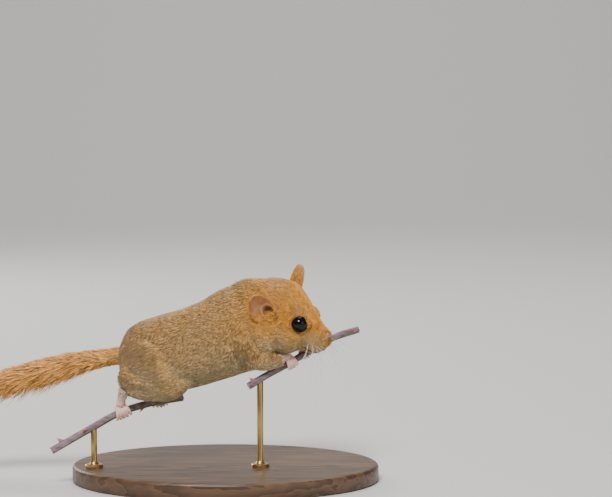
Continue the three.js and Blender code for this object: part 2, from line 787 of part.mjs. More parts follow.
// Body: torso and neck, with each leg parted from them by a thin cut round it
function buildBody() {
  add("torso", coat.intersect(torsoSide).subtract(legsClearance), materials.coat);
  const neck = coat.intersect(neckEnd).subtract(neckStart);
  add("neck", neck.subtract(legsClearance), materials.coat);
  const tail = joined([tailCore(0), tailLocks()]);
  add("tail", tail.subtract(coatClearance), materials.tail);
  const whole = coat.intersect(torsoSide).add(wholeLegs);
  for (const name of Object.keys(legRows)) {
    const [point, way] = anklePlane[name];
    const towards = vector(way).normalize();
    const legEnd = behind(vector(point).addScaledVector(towards, -GAP / 2).toArray(), way);
    const footStart = behind(vector(point).addScaledVector(towards, GAP / 2).toArray(), way);
    const stem = name.startsWith("hind") ? REAR_STEM : FRONT_STEM;
    const stemClearance = stemTube(stem, STEM_RADIUS + GAP);
    const leg = whole.intersect(legSolid(name, LEG_SKIN)).intersect(legEnd);
    add(name, leg.subtract(stemClearance), materials.coat);
    const foot = footOf[name].subtract(footStart).subtract(coatClearance);
    add(name.replace("leg", "foot"), foot, materials.bare);
  }
}

function buildStems() {
  add("perch_rear", stems.rear, materials.stem);
  add("perch_front", stems.front, materials.stem);
}

function buildStand() {
  const top = DATUM + BASE_HEIGHT;
  const profile = [
    [0, DATUM],
    [1, DATUM],
    [1, top - BASE_BEVEL],
    [1 - (2 * BASE_BEVEL) / BASE_DEPTH, top],
    [0, top],
  ].map(([x, y]) => new THREE.Vector2(x, y));
  const disc = new THREE.LatheGeometry(profile, 36);
  disc.rotateX(Math.PI / 2);
  disc.scale(BASE_LENGTH / 2, BASE_DEPTH / 2, 1);
  add("stand_base", toSolid(disc), materials.wood);
  for (const [name, rows, along] of [
    ["stand_rod_rear", REAR_STEM, REAR_ROD_ALONG],
    ["stand_rod_front", FRONT_STEM, FRONT_ROD_ALONG],
  ]) {
    const { centre } = stemFrame(rows, along);
    const foot = top + GAP;
    const rodProfile = [
      [0, foot],
      [ROD_COLLAR_RADIUS, foot],
      [ROD_COLLAR_RADIUS * 0.86, foot + ROD_COLLAR_HEIGHT * 0.55],
      [ROD_RADIUS, foot + ROD_COLLAR_HEIGHT],
      [ROD_RADIUS, centre.z],
      [0, centre.z],
    ].map(([x, y]) => new THREE.Vector2(x, y));
    const rod = new THREE.LatheGeometry(rodProfile, 12);
    rod.rotateX(Math.PI / 2);
    rod.translate(centre.x, centre.y, 0);
    add(name, toSolid(rod).subtract(stemTube(rows, STEM_RADIUS + GAP)), materials.rod);
  }
}

buildHead();
buildBody();
buildStems();
buildStand();

export default model;
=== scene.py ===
"""A life-size hazel dormouse that stretches between two cut bramble stems, on a small display stand.

Shapes are worked out in millimetres and put into meshes in metres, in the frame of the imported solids:
the nose points along +X, the animal's right side faces -Y, and Z is up from the underside of the base.
"""

import logging
import math
from dataclasses import dataclass, field
from enum import Enum
from typing import Callable, Iterable, Sequence

import bpy
import numpy as np
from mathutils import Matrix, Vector


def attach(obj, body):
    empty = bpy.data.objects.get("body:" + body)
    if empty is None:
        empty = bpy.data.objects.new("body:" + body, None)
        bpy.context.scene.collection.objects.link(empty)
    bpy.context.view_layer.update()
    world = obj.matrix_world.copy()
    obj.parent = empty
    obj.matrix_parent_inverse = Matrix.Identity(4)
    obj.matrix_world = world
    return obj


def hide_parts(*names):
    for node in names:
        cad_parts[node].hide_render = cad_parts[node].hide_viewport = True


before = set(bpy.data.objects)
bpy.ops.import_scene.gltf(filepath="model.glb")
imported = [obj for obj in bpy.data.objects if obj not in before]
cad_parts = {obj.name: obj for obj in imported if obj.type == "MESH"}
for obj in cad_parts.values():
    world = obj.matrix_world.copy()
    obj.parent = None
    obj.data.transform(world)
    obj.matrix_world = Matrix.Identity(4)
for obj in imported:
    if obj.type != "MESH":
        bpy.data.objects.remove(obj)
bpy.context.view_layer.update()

LOG = logging.getLogger("dormouse")
MM = 0.001
DATUM = 6.0  # the tables' heights start this far beneath the underside of the base
ROOT = "root"
Array = np.ndarray
Material, Piece, Socket = bpy.types.Material, bpy.types.Object, bpy.types.NodeSocket


class Slot(Enum):
    """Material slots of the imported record."""

    COAT = "coat"
    FACE = "face"
    TAIL = "tail"
    BARE = "bare"
    EYE = "eye"
    STEM = "stem"
    WOOD = "wood"
    ROD = "rod"


class Side(Enum):
    """The animal's own sides; the value is the sign of Y."""

    LEFT = 1
    RIGHT = -1


def lowered(rows: Sequence[Sequence[float]]) -> Array:
    """Measures a table's heights from the underside of the base.

    Args:
        rows: rows of x, y, z and more.

    Returns:
        The table with its lower z.
    """
    table = np.array(rows, float)
    table[:, 2] -= DATUM
    return table


def mirrored(table: Array) -> Array:
    """The same rows with y turned round."""
    return table * np.array([1, -1] + [1] * (table.shape[1] - 2))


TRUNK = lowered([
    [-36.0, 0, 49.0, 10.5, 10.5, 11.0],
    [-31.0, 0, 49.3, 12.5, 12.2, 12.2],
    [-25.0, 0, 50.0, 14.0, 13.5, 13.0],
    [-18.0, 0, 51.2, 14.8, 14.3, 13.6],
    [-10.0, 0, 53.2, 14.8, 14.6, 13.6],
    [-2.0, 0, 56.2, 14.3, 15.0, 14.2],
    [6.0, 0.3, 59.6, 12.6, 16.1, 14.9],
    [13.0, 1.0, 61.8, 10.8, 15.9, 14.4],
    [19.0, 0.8, 62.6, 9.6, 13.4, 12.4],
    [25.0, 0.0, 62.2, 8.0, 10.0, 9.0],
])
HEAD_PLACE = np.array([26.7, -1.4, 61.8 - DATUM])
HEAD_TURN = (15.0, 16.0, 8.0)  # yaw, pitch and roll in degrees
# Forward place, height of the widest level, half width, top and bottom
HEAD = np.array([
    [-21.5, 0.5, 8.4, 9.0, -8.6],
    [-17.0, 0.4, 9.6, 11.2, -9.8],
    [-13.0, 0.0, 10.2, 12.7, -11.2],
    [-9.0, -0.4, 10.4, 13.4, -11.6],
    [-5.0, -0.8, 10.0, 12.8, -11.4],
    [-1.5, -1.1, 8.9, 10.4, -10.7],
    [1.5, -1.5, 7.4, 7.6, -9.6],
    [4.5, -2.0, 5.8, 4.8, -8.3],
    [7.5, -2.5, 5.0, 2.3, -7.2],
    [10.7, -2.9, 4.5, 0.3, -6.3],
])
TAIL = lowered([
    [-33, 0, 50.6, 2.7],
    [-42, 0.6, 49.6, 2.7],
    [-52.5, 1.6, 47.8, 2.8],
    [-66, 2.8, 44.6, 2.7],
    [-79, 3.2, 41.0, 2.4],
    [-89, 2.6, 38.2, 1.9],
    [-94.5, 2.0, 36.9, 1.1],
])
THIGH = lowered([
    [-27, 4.6, 54.5, 8.0],
    [-24.5, 6.2, 50.0, 9.8],
    [-21.5, 7.8, 45.4, 8.4],
    [-18.8, 8.8, 41.6, 6.0],
])
SHIN = lowered([
    [-12.2, 7.8, 43.4, 2.8],
    [-17.2, 8.8, 41.0, 4.9],
    [-22.5, 9.0, 40.2, 5.1],
    [-29.0, 8.8, 39.9, 4.6],
    [-34.6, 8.0, 40.0, 2.3],
])
LEFT_SHIN = lowered([
    [-12.4, 7.8, 43.2, 2.8],
    [-17.4, 8.8, 40.8, 4.9],
    [-22.0, 8.6, 39.8, 4.4],
    [-26.4, 8.0, 39.2, 3.4],
    [-30.2, 6.8, 38.8, 2.2],
])
# Flesh that joins thigh and shin: centre and reach of each ellipsoid
HAUNCH = lowered([[-25, 8.0, 43.2, 11.2, 7.0, 7.8], [-30.4, 6.2, 44.2, 6.3, 6.1, 6.2]])
# Where the skin is relaxed most (haunches, rump and nape): centre and reach of each ellipsoid
SOFTENED = lowered([
    [-22.5, 8.5, 44.0, 16.0, 9.0, 10.0],
    [-22.5, -8.5, 44.0, 16.0, 9.0, 10.0],
    [-32.5, 0.0, 50.0, 8.5, 16.0, 15.0],
    [5.0, 0.0, 71.0, 13.0, 15.0, 12.0],
])
KNEE = np.array([-13.0, 8.0, 37.2])
# Fills the nape between the head and the shoulders: columns as in TRUNK
NECK = lowered([
    [4.0, 0.2, 59.4, 12.4, 15.8, 14.6],
    [12.0, 0.4, 62.0, 11.4, 15.9, 14.2],
    [18.0, -0.2, 63.4, 10.2, 14.2, 12.4],
    [23.0, -0.9, 63.6, 8.6, 12.6, 10.6],
])
UPPER_ARM = lowered([
    [4.5, 5.8, 59.5, 6.2],
    [6.6, 7.2, 55.0, 6.0],
    [9.8, 8.2, 50.4, 3.8],
])
FOREARM = lowered([
    [8.2, 8.3, 50.2, 3.5],
    [14.5, 7.4, 49.2, 2.9],
    [19.4, 5.6, 49.4, 1.9],
])
LEFT_UPPER_ARM = lowered([
    [6.5, 5.8, 59.5, 6.2],
    [10.5, 7.4, 55.8, 5.6],
    [15.0, 8.4, 52.9, 3.6],
])
LEFT_FOREARM = lowered([
    [13.2, 8.6, 53.2, 3.5],
    [19.5, 8.4, 52.3, 2.8],
    [24.8, 6.8, 53.0, 1.8],
])
REAR_STEM = lowered([
    [-60, -11.5, 18.4],
    [-48, -8.5, 25.0],
    [-36.4, -5.2, 31.0],
    [-25, 0.6, 33.6],
    [-15.5, 5.6, 34.4],
])
FRONT_STEM = lowered([
    [8.4, -8.6, 40.6],
    [15, -5.6, 44.2],
    [22.5, -1.6, 47.8],
    [30, 4.2, 51.4],
    [38, 10.2, 55.2],
    [47, 14.6, 57.6],
])
STEM_RADIUS = 1.25
GAP = 0.3
EYE_RADIUS = 2.9
EYE_PLACE = np.array([0.85, 6.3, 1.8])
EYE_AXIS = np.array([0.34, 0.92, 0.2])
NOSE_PLACE = np.array([10.1, 0.0, -1.4])
MOUTH_DEPTH = 6.0  # of the mouth's line in the middle, under the head's own middle
MOUTH_DROP = 0.6  # how much lower the line is at its corners
# Stations of a tuft: shares of its length, height and width, and how far it is drawn sideways
BODY_TUFT = np.array([[0.0, -0.25, 0.8, 0], [0.5, 0.72, 1.0, 0.35], [1.0, 0.85, 0.0, 1.0]])
TAIL_TUFT = np.array([
    [0.0, -0.1, 0.8, 0],
    [0.4, 0.55, 1.0, 0.2],
    [0.75, 0.95, 0.6, 0.7],
    [1.0, 1.1, 0.0, 1.0],
])
EAR_TUFT = np.array([[0.0, -0.25, 0.8, 0], [0.5, 0.7, 1.0, 0.3], [1.0, 0.9, 0.0, 1.0]])
FOOT_TUFT = np.array([[0.0, -0.2, 0.8, 0], [0.5, 0.7, 1.0, 0.3], [1.0, 0.9, 0.0, 1.0]])


def smooth_step(low: float, high: float, value: Array) -> Array:
    """0 up to low, 1 from high on, and 3t^2 - 2t^3 between them; low may be the larger."""
    share = np.clip((value - low) / (high - low), 0, 1)
    return share * share * (3 - 2 * share)


def unit(vectors: Array) -> Array:
    """Vectors scaled to length 1 along the last axis."""
    return vectors / np.maximum(np.linalg.norm(vectors, axis=-1, keepdims=True), 1e-12)


def signed_power(value: Array, exponent: float) -> Array:
    """Size raised to the exponent, with the sign kept."""
    return np.sign(value) * np.abs(value) ** exponent


def turns(count: int) -> Array:
    """Angles that divide a full circle evenly, from 0: 2 pi k / count."""
    return 2 * np.pi * np.arange(count) / count


def grid_of(x: Array, y: Array, z: Array) -> Array:
    """Points whose three coordinates are spread over one grid."""
    return np.stack(np.broadcast_arrays(x, y, z), -1)


def square_to(vector: Array, axis: Array) -> Array:
    """Unit vector at right angles to an axis: v - (v . a) a, made 1 long."""
    return unit(vector - (vector @ axis) * axis)


def laid(vectors: Array, normals: Array) -> Array:
    """The part of each vector that lies in the surface: v - (v . n) n."""
    return vectors - (vectors * normals).sum(1)[:, None] * normals


def halved(quads: Array) -> Array:
    """Two triangles for each four-cornered face."""
    return np.concatenate([quads[:, [0, 1, 2]], quads[:, [0, 2, 3]]])


def cell_shares(cell: Array, ways: Sequence[Sequence[float]]) -> Array:
    """Repeatable shares from 0 to 1 for each cell of a lattice: the fraction of a large sine."""
    large = np.sin(cell @ np.array(ways)) * 43758.5
    return large - np.floor(large)


def blend_rows(rows: Array, u: Array) -> Array:
    """Uniform Catmull-Rom blend of a table's rows.

    Args:
        rows: table of control rows.
        u: places along the table from 0 to 1.

    Returns:
        One blended row for each place.
    """
    last = len(rows) - 1
    place = np.clip(np.asarray(u, float), 0, 1) * last
    i = np.minimum(np.floor(place).astype(int), last - 1)
    f = (place - i)[..., None]
    p0, p1, p2, p3 = (rows[np.clip(i + k, 0, last)] for k in (-1, 0, 1, 2))
    return 0.5 * (
        2 * p1 + (p2 - p0) * f + (2 * p0 - 5 * p1 + 4 * p2 - p3) * f**2
        + (3 * p1 - p0 - 3 * p2 + p3) * f**3
    )


def path_axes(rows: Array, u: Array) -> tuple[Array, Array, Array, Array]:
    """Centre line of a table with a direction along it, one to its side and one up.

    Args:
        rows: control rows that start with x, y, z.
        u: places along it.

    Returns:
        Centres, then unit vectors along, sideways and up.
    """
    step = 0.004
    centre = blend_rows(rows, u)[..., :3]
    along = unit(blend_rows(rows, u + step)[..., :3] - blend_rows(rows, u - step)[..., :3])
    steep = np.abs(along[..., 2:]) > 0.9
    upright = np.where(steep, np.array([1.0, 0, 0]), np.array([0, 0, 1.0]))
    side = unit(np.cross(upright, along))
    return centre, along, side, np.cross(along, side)


def off_stem(points: Array, rows: Array) -> Array:
    """Distance of each point from a stem's centre line.

    Args:
        points: points in millimetres.
        rows: the stem's control rows.

    Returns:
        One distance for each point.
    """
    line = path_axes(rows, np.linspace(0, 1, 160))[0]
    return np.linalg.norm(points[:, None] - line, axis=-1).min(axis=1)


def even(count: int) -> Array:
    """count + 1 places from 0 to 1, closer together near both ends: (1 - cos(pi k / n)) / 2."""
    return (1 - np.cos(np.pi * np.arange(count + 1) / count)) / 2


def opening(share: Array, rounding: float) -> Array:
    """How far a round end has opened: a quarter circle, from 0.03 at the tip to 1."""
    t = np.minimum(share / rounding, 1)
    return np.maximum(np.sqrt(np.maximum(1 - (1 - t) ** 2, 0)), 0.03)


def wave_noise(points: Array, size: float, seed: int) -> Array:
    """Soft noise from about -1 to 1: the mean of a few sine waves in seeded directions.

    Args:
        points: points in millimetres.
        size: length of a wave in millimetres.
        seed: seed of the directions.

    Returns:
        One value for each point.
    """
    rng = np.random.default_rng(seed)
    waves, gain = 7, 1.6
    ways = unit(rng.normal(size=(waves, 3))) * rng.uniform(0.7, 1.5, (waves, 1)) * 2 * np.pi / size
    return np.sin(points @ ways.T + rng.uniform(0, 2 * np.pi, waves)).mean(axis=1) * gain


@dataclass
class Shell:
    """A surface: points in millimetres, and lists of faces with the same number of corners."""

    points: Array
    faces: list[Array]

    def facing_out(self) -> "Shell":
        """Turns the faces of a closed surface outwards, by the sign of its volume.

        Returns:
            The same surface, facing outwards.
        """
        volume = sum(
            np.einsum("ij,ij->", self.points[f[:, 0]],
                      np.cross(self.points[f[:, k]], self.points[f[:, k + 1]]))
            for f in self.faces for k in range(1, f.shape[1] - 1)
        )
        return self if volume > 0 else Shell(self.points, [f[:, ::-1] for f in self.faces])

    @staticmethod
    def joined(shells: Iterable["Shell"]) -> "Shell":
        """Several surfaces as one, without merging.

        Args:
            shells: the surfaces.

        Returns:
            One surface with all their points and faces.
        """
        points, faces, start = [], [], 0
        for shell in shells:
            points.append(shell.points)
            faces += [f + start for f in shell.faces]
            start += len(shell.points)
        return Shell(np.concatenate(points), faces)


def tube(rings: Array) -> Shell:
    """Closes rings of points (ring, corner, xyz) with a fan at each end.

    Args:
        rings: a grid of points, closed round its second axis.

    Returns:
        A closed surface that faces outwards.
    """
    count, sides, _ = rings.shape
    index = np.arange(count * sides).reshape(count, sides)
    after = np.roll(index, -1, axis=1)
    quads = np.stack([index[:-1], after[:-1], after[1:], index[1:]], -1).reshape(-1, 4)
    points = np.concatenate([rings.reshape(-1, 3), rings[[0, -1]].mean(axis=1)])
    first = np.stack([after[0], index[0], np.full(sides, count * sides)], -1)
    last = np.stack([index[-1], after[-1], np.full(sides, count * sides + 1)], -1)
    return Shell(points, [quads, np.concatenate([first, last])]).facing_out()


def sweep(rows: Array, count: int, sides: int, reaches: Callable[[Array, Array], Array],
          power: float = 1.0) -> Shell:
    """A closed form round a path: superellipse rings with a reach across, above and below.

    Args:
        rows: control rows that start with x, y, z.
        count: number of steps along the path.
        sides: corners of each ring.
        reaches: turns blended rows and places into the three reaches.
        power: exponent of the ring's cosine and sine; below 1 squares it a little.

    Returns:
        The closed surface.
    """
    u = even(count)
    across, above, below = np.moveaxis(reaches(blend_rows(rows, u), u), -1, 0)[..., None]
    angle = turns(sides)
    wide = signed_power(np.cos(angle), power) * across
    tall = signed_power(np.sin(angle), power)
    tall = tall * np.where(tall > 0, above, below)
    centre, _, side, up = (axis[:, None] for axis in path_axes(rows, u))
    return tube(centre + side * wide[..., None] + up * tall[..., None])


def limb(rows: Array, count: int, sides: int, grow: float = 0.0) -> Shell:
    """A round limb with rounded ends.

    Args:
        rows: rows of x, y, z and radius.
        count: number of steps along it.
        sides: corners of each ring.
        grow: what is added to the radius.

    Returns:
        The closed surface.
    """
    end = 0.06  # share of the length that rounds off

    def reaches(row: Array, u: Array) -> Array:
        """The same radius three times."""
        radius = (row[:, 3] + grow) * np.minimum(opening(u, end), opening(1 - u, end))
        return np.stack([radius] * 3, -1)
    return sweep(rows, count, sides, reaches)


def ball(centre: Array, reaches: Array, detail: int = 16) -> Shell:
    """An ellipsoid from latitude and longitude: (sin p cos t, sin p sin t, cos p), stretched.

    Args:
        centre: its middle.
        reaches: its three half axes.
        detail: steps from pole to pole; twice as many go round.

    Returns:
        The closed surface.
    """
    polar = np.pi * (np.arange(1, detail) / detail)
    turn = turns(2 * detail)
    wide = np.sin(polar)[:, None]
    shell = tube(grid_of(wide * np.cos(turn), wide * np.sin(turn), np.cos(polar)[:, None]))
    shell.points[-2:] = [[0, 0, 1], [0, 0, -1]]
    return Shell(shell.points * np.asarray(reaches) + np.asarray(centre), shell.faces)


def turn_matrix() -> Array:
    """Rotation from the head's frame (forward, left, up): roll, then pitch, then yaw.

    Returns:
        The matrix of three rows.
    """
    yaw, pitch, roll = np.radians(HEAD_TURN)
    about_z = np.array([[math.cos(yaw), math.sin(yaw), 0], [-math.sin(yaw), math.cos(yaw), 0], [0, 0, 1]])
    about_y = np.array([
        [math.cos(pitch), 0, math.sin(pitch)],
        [0, 1, 0],
        [-math.sin(pitch), 0, math.cos(pitch)],
    ])
    about_x = np.array([[1, 0, 0], [0, math.cos(roll), -math.sin(roll)], [0, math.sin(roll), math.cos(roll)]])
    return about_z @ about_y @ about_x


HEAD_MATRIX = turn_matrix()


def from_head(points: Array) -> Array:
    """Points of the head's frame in the model's frame."""
    return np.asarray(points) @ HEAD_MATRIX.T + HEAD_PLACE


def to_head(points: Array) -> Array:
    """Points of the model's frame in the head's frame."""
    return (points - HEAD_PLACE) @ HEAD_MATRIX


def eye_centre(side: Side) -> Array:
    """Middle of an eyeball in the model's frame."""
    return from_head(EYE_PLACE * [1, side.value, 1])


def placed(name: str, data: bpy.types.ID) -> Piece:
    """Puts a mesh, lamp or camera into the scene.

    Args:
        name: name of the object.
        data: what it holds.

    Returns:
        The new object, at the origin.
    """
    item = bpy.data.objects.new(name, data)
    bpy.context.scene.collection.objects.link(item)
    return item


def make_object(name: str, shell: Shell, material: Material) -> Piece:
    """Puts a surface into a smooth mesh in metres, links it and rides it.

    Args:
        name: plain name of the piece.
        shell: the surface in millimetres.
        material: its material.

    Returns:
        The new object, at the origin.
    """
    mesh = bpy.data.meshes.new(name)
    corners = np.concatenate([f.ravel() for f in shell.faces]).astype(np.int32)
    totals = np.concatenate([np.full(len(f), f.shape[1]) for f in shell.faces])
    starts = np.concatenate([[0], np.cumsum(totals)[:-1]]).astype(np.int32)
    mesh.vertices.add(len(shell.points))
    mesh.vertices.foreach_set("co", (shell.points * MM).astype(np.float32).ravel())
    mesh.loops.add(len(corners))
    mesh.loops.foreach_set("vertex_index", corners)
    mesh.polygons.add(len(totals))
    mesh.polygons.foreach_set("loop_start", starts)
    mesh.polygons.foreach_set("use_smooth", np.full(len(totals), True))
    mesh.update(calc_edges=True)
    mesh.materials.append(material)
    item = placed(name, mesh)
    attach(item, ROOT)
    return item


def report(item: Piece) -> None:
    """Logs a piece's name and its number of triangles.

    Args:
        item: the piece.
    """
    totals = np.zeros(len(item.data.polygons), np.int32)
    item.data.polygons.foreach_get("loop_total", totals)
    LOG.info("%s: %d triangles", item.name, int((totals - 2).sum()))


def set_marks(item: Piece, name: str, values: Array) -> None:
    """Stores shares at the points of a piece.

    Args:
        item: the piece.
        name: name of the attribute.
        values: three or four shares for each point; a missing fourth is 1.
    """
    filled = np.ones((len(values), 4), np.float32)
    filled[:, : values.shape[1]] = values
    layer = item.data.attributes.new(name, "FLOAT_COLOR", "POINT")
    layer.data.foreach_set("color", filled.ravel())


def remeshed(name: str, shells: Sequence[Shell], voxel: float, smoothing: int) -> Shell:
    """Fuses closed surfaces into one skin by a voxel remesh, then relaxes it.

    Args:
        name: name of the scratch object.
        shells: closed surfaces that overlap.
        voxel: size of a voxel in millimetres.
        smoothing: number of rounds in which each point moves half way to its neighbours' mean.

    Returns:
        One closed surface of four-cornered faces.
    """
    joined = Shell.joined(shells)
    mesh = bpy.data.meshes.new(name)
    faces = [face for group in joined.faces for face in group.tolist()]
    mesh.from_pydata((joined.points * MM).tolist(), [], faces)
    item = placed(name, mesh)
    fuse = item.modifiers.new("fuse", "REMESH")
    fuse.mode = "VOXEL"
    fuse.voxel_size = voxel * MM
    relax = item.modifiers.new("relax", "SMOOTH")
    relax.factor = 0.5
    relax.iterations = smoothing
    solid = bpy.data.meshes.new_from_object(item.evaluated_get(bpy.context.evaluated_depsgraph_get()))
    points = np.zeros(len(solid.vertices) * 3)
    solid.vertices.foreach_get("co", points)
    corners = np.zeros(len(solid.loops), np.int64)
    solid.loops.foreach_get("vertex_index", corners)
    quads = corners.reshape(-1, 4)
    bpy.data.objects.remove(item)
    bpy.data.meshes.remove(mesh)
    bpy.data.meshes.remove(solid)
    return Shell(points.reshape(-1, 3) / MM, [quads]).facing_out()


def relaxed(shell: Shell, share: Array, rounds: int) -> Shell:
    """Moves the points of a closed four-cornered surface towards their neighbours' mean.

    Args:
        shell: the surface.
        share: how much of the way each point goes in one round.
        rounds: number of rounds.

    Returns:
        The relaxed surface.
    """
    quads = shell.faces[0]
    start, end = np.concatenate([quads[:, [k, (k + 1) % 4]] for k in range(4)]).T
    total = len(shell.points)
    near = np.maximum(np.bincount(start, minlength=total), 1)[:, None]
    points = shell.points.copy()
    for _ in range(rounds):
        mean = np.stack([np.bincount(start, points[end, axis], total) for axis in range(3)], -1) / near
        points += share[:, None] * (mean - points)
    return Shell(points, shell.faces)


def point_normals(points: Array, triangles: Array) -> Array:
    """Unit normals at the points: the sum of the area vectors of the triangles round each.

    Args:
        points: the surface's points.
        triangles: its triangles, facing outwards.

    Returns:
        One unit vector for each point.
    """
    a, b, c = (points[triangles[:, k]] for k in range(3))
    area = np.cross(b - a, c - a)
    total = np.stack([
        sum(np.bincount(triangles[:, k], area[:, axis], len(points)) for k in range(3))
        for axis in range(3)
    ], -1)
    return unit(total)


class Board:
    """A node tree that is being filled."""

    def __init__(self, tree: bpy.types.NodeTree) -> None:
        """Starts on a tree and remembers how many nodes were placed."""
        self.tree = tree
        self.placed = 0

    def add(self, kind: str, inputs: dict | None = None, **settings: object) -> bpy.types.Node:
        """Adds a node, sets its properties and sets or links its inputs.

        Args:
            kind: Blender's name of the node's type.
            inputs: value or output socket for each input, by name or number.
            **settings: properties of the node.

        Returns:
            The node.
        """
        node = self.tree.nodes.new(kind)
        node.location = (220 * (self.placed % 8), -260 * (self.placed // 8))
        self.placed += 1
        for key, value in settings.items():
            setattr(node, key, value)
        for key, value in (inputs or {}).items():
            if isinstance(value, Socket):
                self.tree.links.new(value, node.inputs[key])
            else:
                node.inputs[key].default_value = value
        return node

    def mix(self, share: object, low: object, high: object, blend: str = "MIX") -> Socket:
        """A colour between low and high, or their blend by another rule."""
        node = self.add("ShaderNodeMix", {0: share, 6: low, 7: high}, data_type="RGBA", blend_type=blend)
        return node.outputs[2]

    def math(self, operation: str, first: object, second: object = 0.0) -> Socket:
        """One arithmetic step."""
        return self.add("ShaderNodeMath", {0: first, 1: second}, operation=operation).outputs[0]

    def span(self, value: object, low: float, high: float, start: float, end: float) -> Socket:
        """Carries value from low..high over to start..end, held at the ends."""
        node = self.add("ShaderNodeMapRange", {0: value, 1: low, 2: high, 3: start, 4: end})
        return node.outputs[0]

    def ramp(self, value: object, low: float, high: float, first: object, last: object) -> Socket:
        """A colour that goes from first to last as the value goes from low to high."""
        return self.mix(self.span(value, low, high, 0.0, 1.0), first, last)

    def noise(self, scale: float, detail: float = 3.0, stretch: Sequence[float] = (1, 1, 1)) -> Socket:
        """Noise on the piece's own coordinates.

        Args:
            scale: how many grains go into a metre, roughly.
            detail: octaves of finer grain.
            stretch: factors for X, Y and Z; below 1 draws the grain out along that axis.

        Returns:
            A share from 0 to 1.
        """
        place = self.add("ShaderNodeTexCoord").outputs["Object"]
        mapping = self.add("ShaderNodeMapping", {"Vector": place, "Scale": tuple(stretch)})
        settings = {"Vector": mapping.outputs[0], "Scale": scale, "Detail": detail}
        return self.add("ShaderNodeTexNoise", settings).outputs["Fac"]

    def attribute(self, name: str) -> Sequence[Socket]:
        """Outputs of a node that reads the piece's attribute."""
        return self.add("ShaderNodeAttribute", attribute_name=name).outputs

    def parts(self, color: Socket) -> Sequence[Socket]:
        """The red, green and blue shares of a colour."""
        return self.add("ShaderNodeSeparateColor", {0: color}).outputs

    def bump(self, height: Socket, strength: float, distance: float) -> Socket:
        """A bumped normal; the distance is in metres."""
        settings = {"Height": height, "Strength": strength, "Distance": distance}
        return self.add("ShaderNodeBump", settings).outputs[0]

    def link(self, node: bpy.types.Node, **sockets: Socket) -> None:
        """Links outputs to a node's inputs, whose names are written with _ for a blank."""
        for key, value in sockets.items():
            self.tree.links.new(value, node.inputs[key.replace("_", " ")])


def rgb(red: float, green: float, blue: float) -> tuple[float, float, float, float]:
    """An opaque colour."""
    return (red, green, blue, 1.0)


def new_material(name: str, **sockets: object) -> tuple[Material, Board, bpy.types.Node]:
    """A material with one principled shader whose fixed values are set on its own sockets.

    Args:
        name: the material's name.
        **sockets: the shader's values, their names written with _ for a blank.

    Returns:
        The material, a board for its nodes, and the shader.
    """
    material = bpy.data.materials.new(name)
    material.use_nodes = True
    board = Board(material.node_tree)
    shader = material.node_tree.nodes["Principled BSDF"]
    for key, value in sockets.items():
        shader.inputs[key.replace("_", " ")].default_value = value
    return material, board, shader


@dataclass(frozen=True)
class Tones:
    """Colours of the coat."""

    sand: tuple = rgb(0.57, 0.325, 0.095)
    pale: tuple = rgb(0.60, 0.45, 0.22)
    ginger: tuple = rgb(0.74, 0.30, 0.005)
    rust: tuple = rgb(1.0, 0.48, 0.09)
    # Greyer hair bases, darkened further to paint the shade deep in the coat
    root: tuple = rgb(0.30, 0.22, 0.17)
    tip: tuple = rgb(0.09, 0.05, 0.022)


TONES = Tones()


def coat_tones() -> bpy.types.NodeTree:
    """Shared node group for hair and the skin under it.

    Mixes sand, pale, ginger and rust by three marks, varies each tuft and each clump, and darkens the
    root, for greyer hair bases and as painted shade deep in the coat. About one tuft in five also
    ends dark, less so where the coat is pale or ginger.

    Returns:
        The group, made once.
    """
    found = bpy.data.node_groups.get("coat tones")
    if found:
        return found
    group = bpy.data.node_groups.new("coat tones", "ShaderNodeTree")
    for name, kind in [("Marks", "NodeSocketColor"), ("Along", "NodeSocketFloat"),
                       ("Chance", "NodeSocketFloat"), ("Patch", "NodeSocketFloat")]:
        group.interface.new_socket(name, in_out="INPUT", socket_type=kind)
    group.interface.new_socket("Color", in_out="OUTPUT", socket_type="NodeSocketColor")
    board = Board(group)
    source = board.add("NodeGroupInput").outputs
    marks = board.parts(source["Marks"])
    tone = board.mix(marks[0], TONES.sand, TONES.pale)
    tone = board.mix(marks[1], tone, TONES.ginger)
    tone = board.mix(marks[2], tone, TONES.rust)
    bright = board.span(source["Chance"], 0.0, 1.0, 0.66, 1.3)
    bright = board.math("MULTIPLY", bright, board.span(source["Patch"], 0.0, 1.0, 0.8, 1.18))
    grey = board.add("ShaderNodeCombineColor", {0: bright, 1: bright, 2: bright}).outputs[0]
    tone = board.mix(1.0, tone, grey, "MULTIPLY")
    # Darker towards the root: the greyer hair base, and painted shade deep in the coat
    root = board.mix(1.0, tone, TONES.root, "MULTIPLY")
    tone = board.mix(board.span(source["Along"], 0.05, 0.62, 0.0, 1.0), root, tone)
    dark = board.math("GREATER_THAN", source["Chance"], 0.81)
    dark = board.math("MULTIPLY", dark, board.span(source["Along"], 0.5, 1.0, 0.0, 0.75))
    dark = board.math("MULTIPLY", dark, board.span(marks[0], 0.0, 1.0, 1.0, 0.25))
    dark = board.math("MULTIPLY", dark, board.span(marks[1], 0.3, 1.0, 1.0, 0.45))
    tone = board.mix(dark, tone, TONES.tip)
    board.add("NodeGroupOutput", {0: tone})
    return group


@dataclass(frozen=True)
class HairFinish:
    """Hair: the coat tones, read from each tuft's own attributes."""

    name: str = "hair"
    roughness: float = 0.52
    sheen: float = 0.25
    specular: float = 0.35

    def build(self) -> Material:
        """Makes the material.

        Returns:
            The material.
        """
        material, board, shader = new_material(
            self.name, Roughness=self.roughness, Sheen_Weight=self.sheen, Specular_IOR_Level=self.specular)
        marks = board.attribute("marks")["Color"]
        parts = board.parts(board.attribute("strand")["Color"])
        tones = board.add("ShaderNodeGroup", node_tree=coat_tones())
        board.link(tones, Marks=marks, Along=parts[0], Chance=parts[1], Patch=parts[2])
        board.link(shader, Base_Color=tones.outputs[0])
        return material


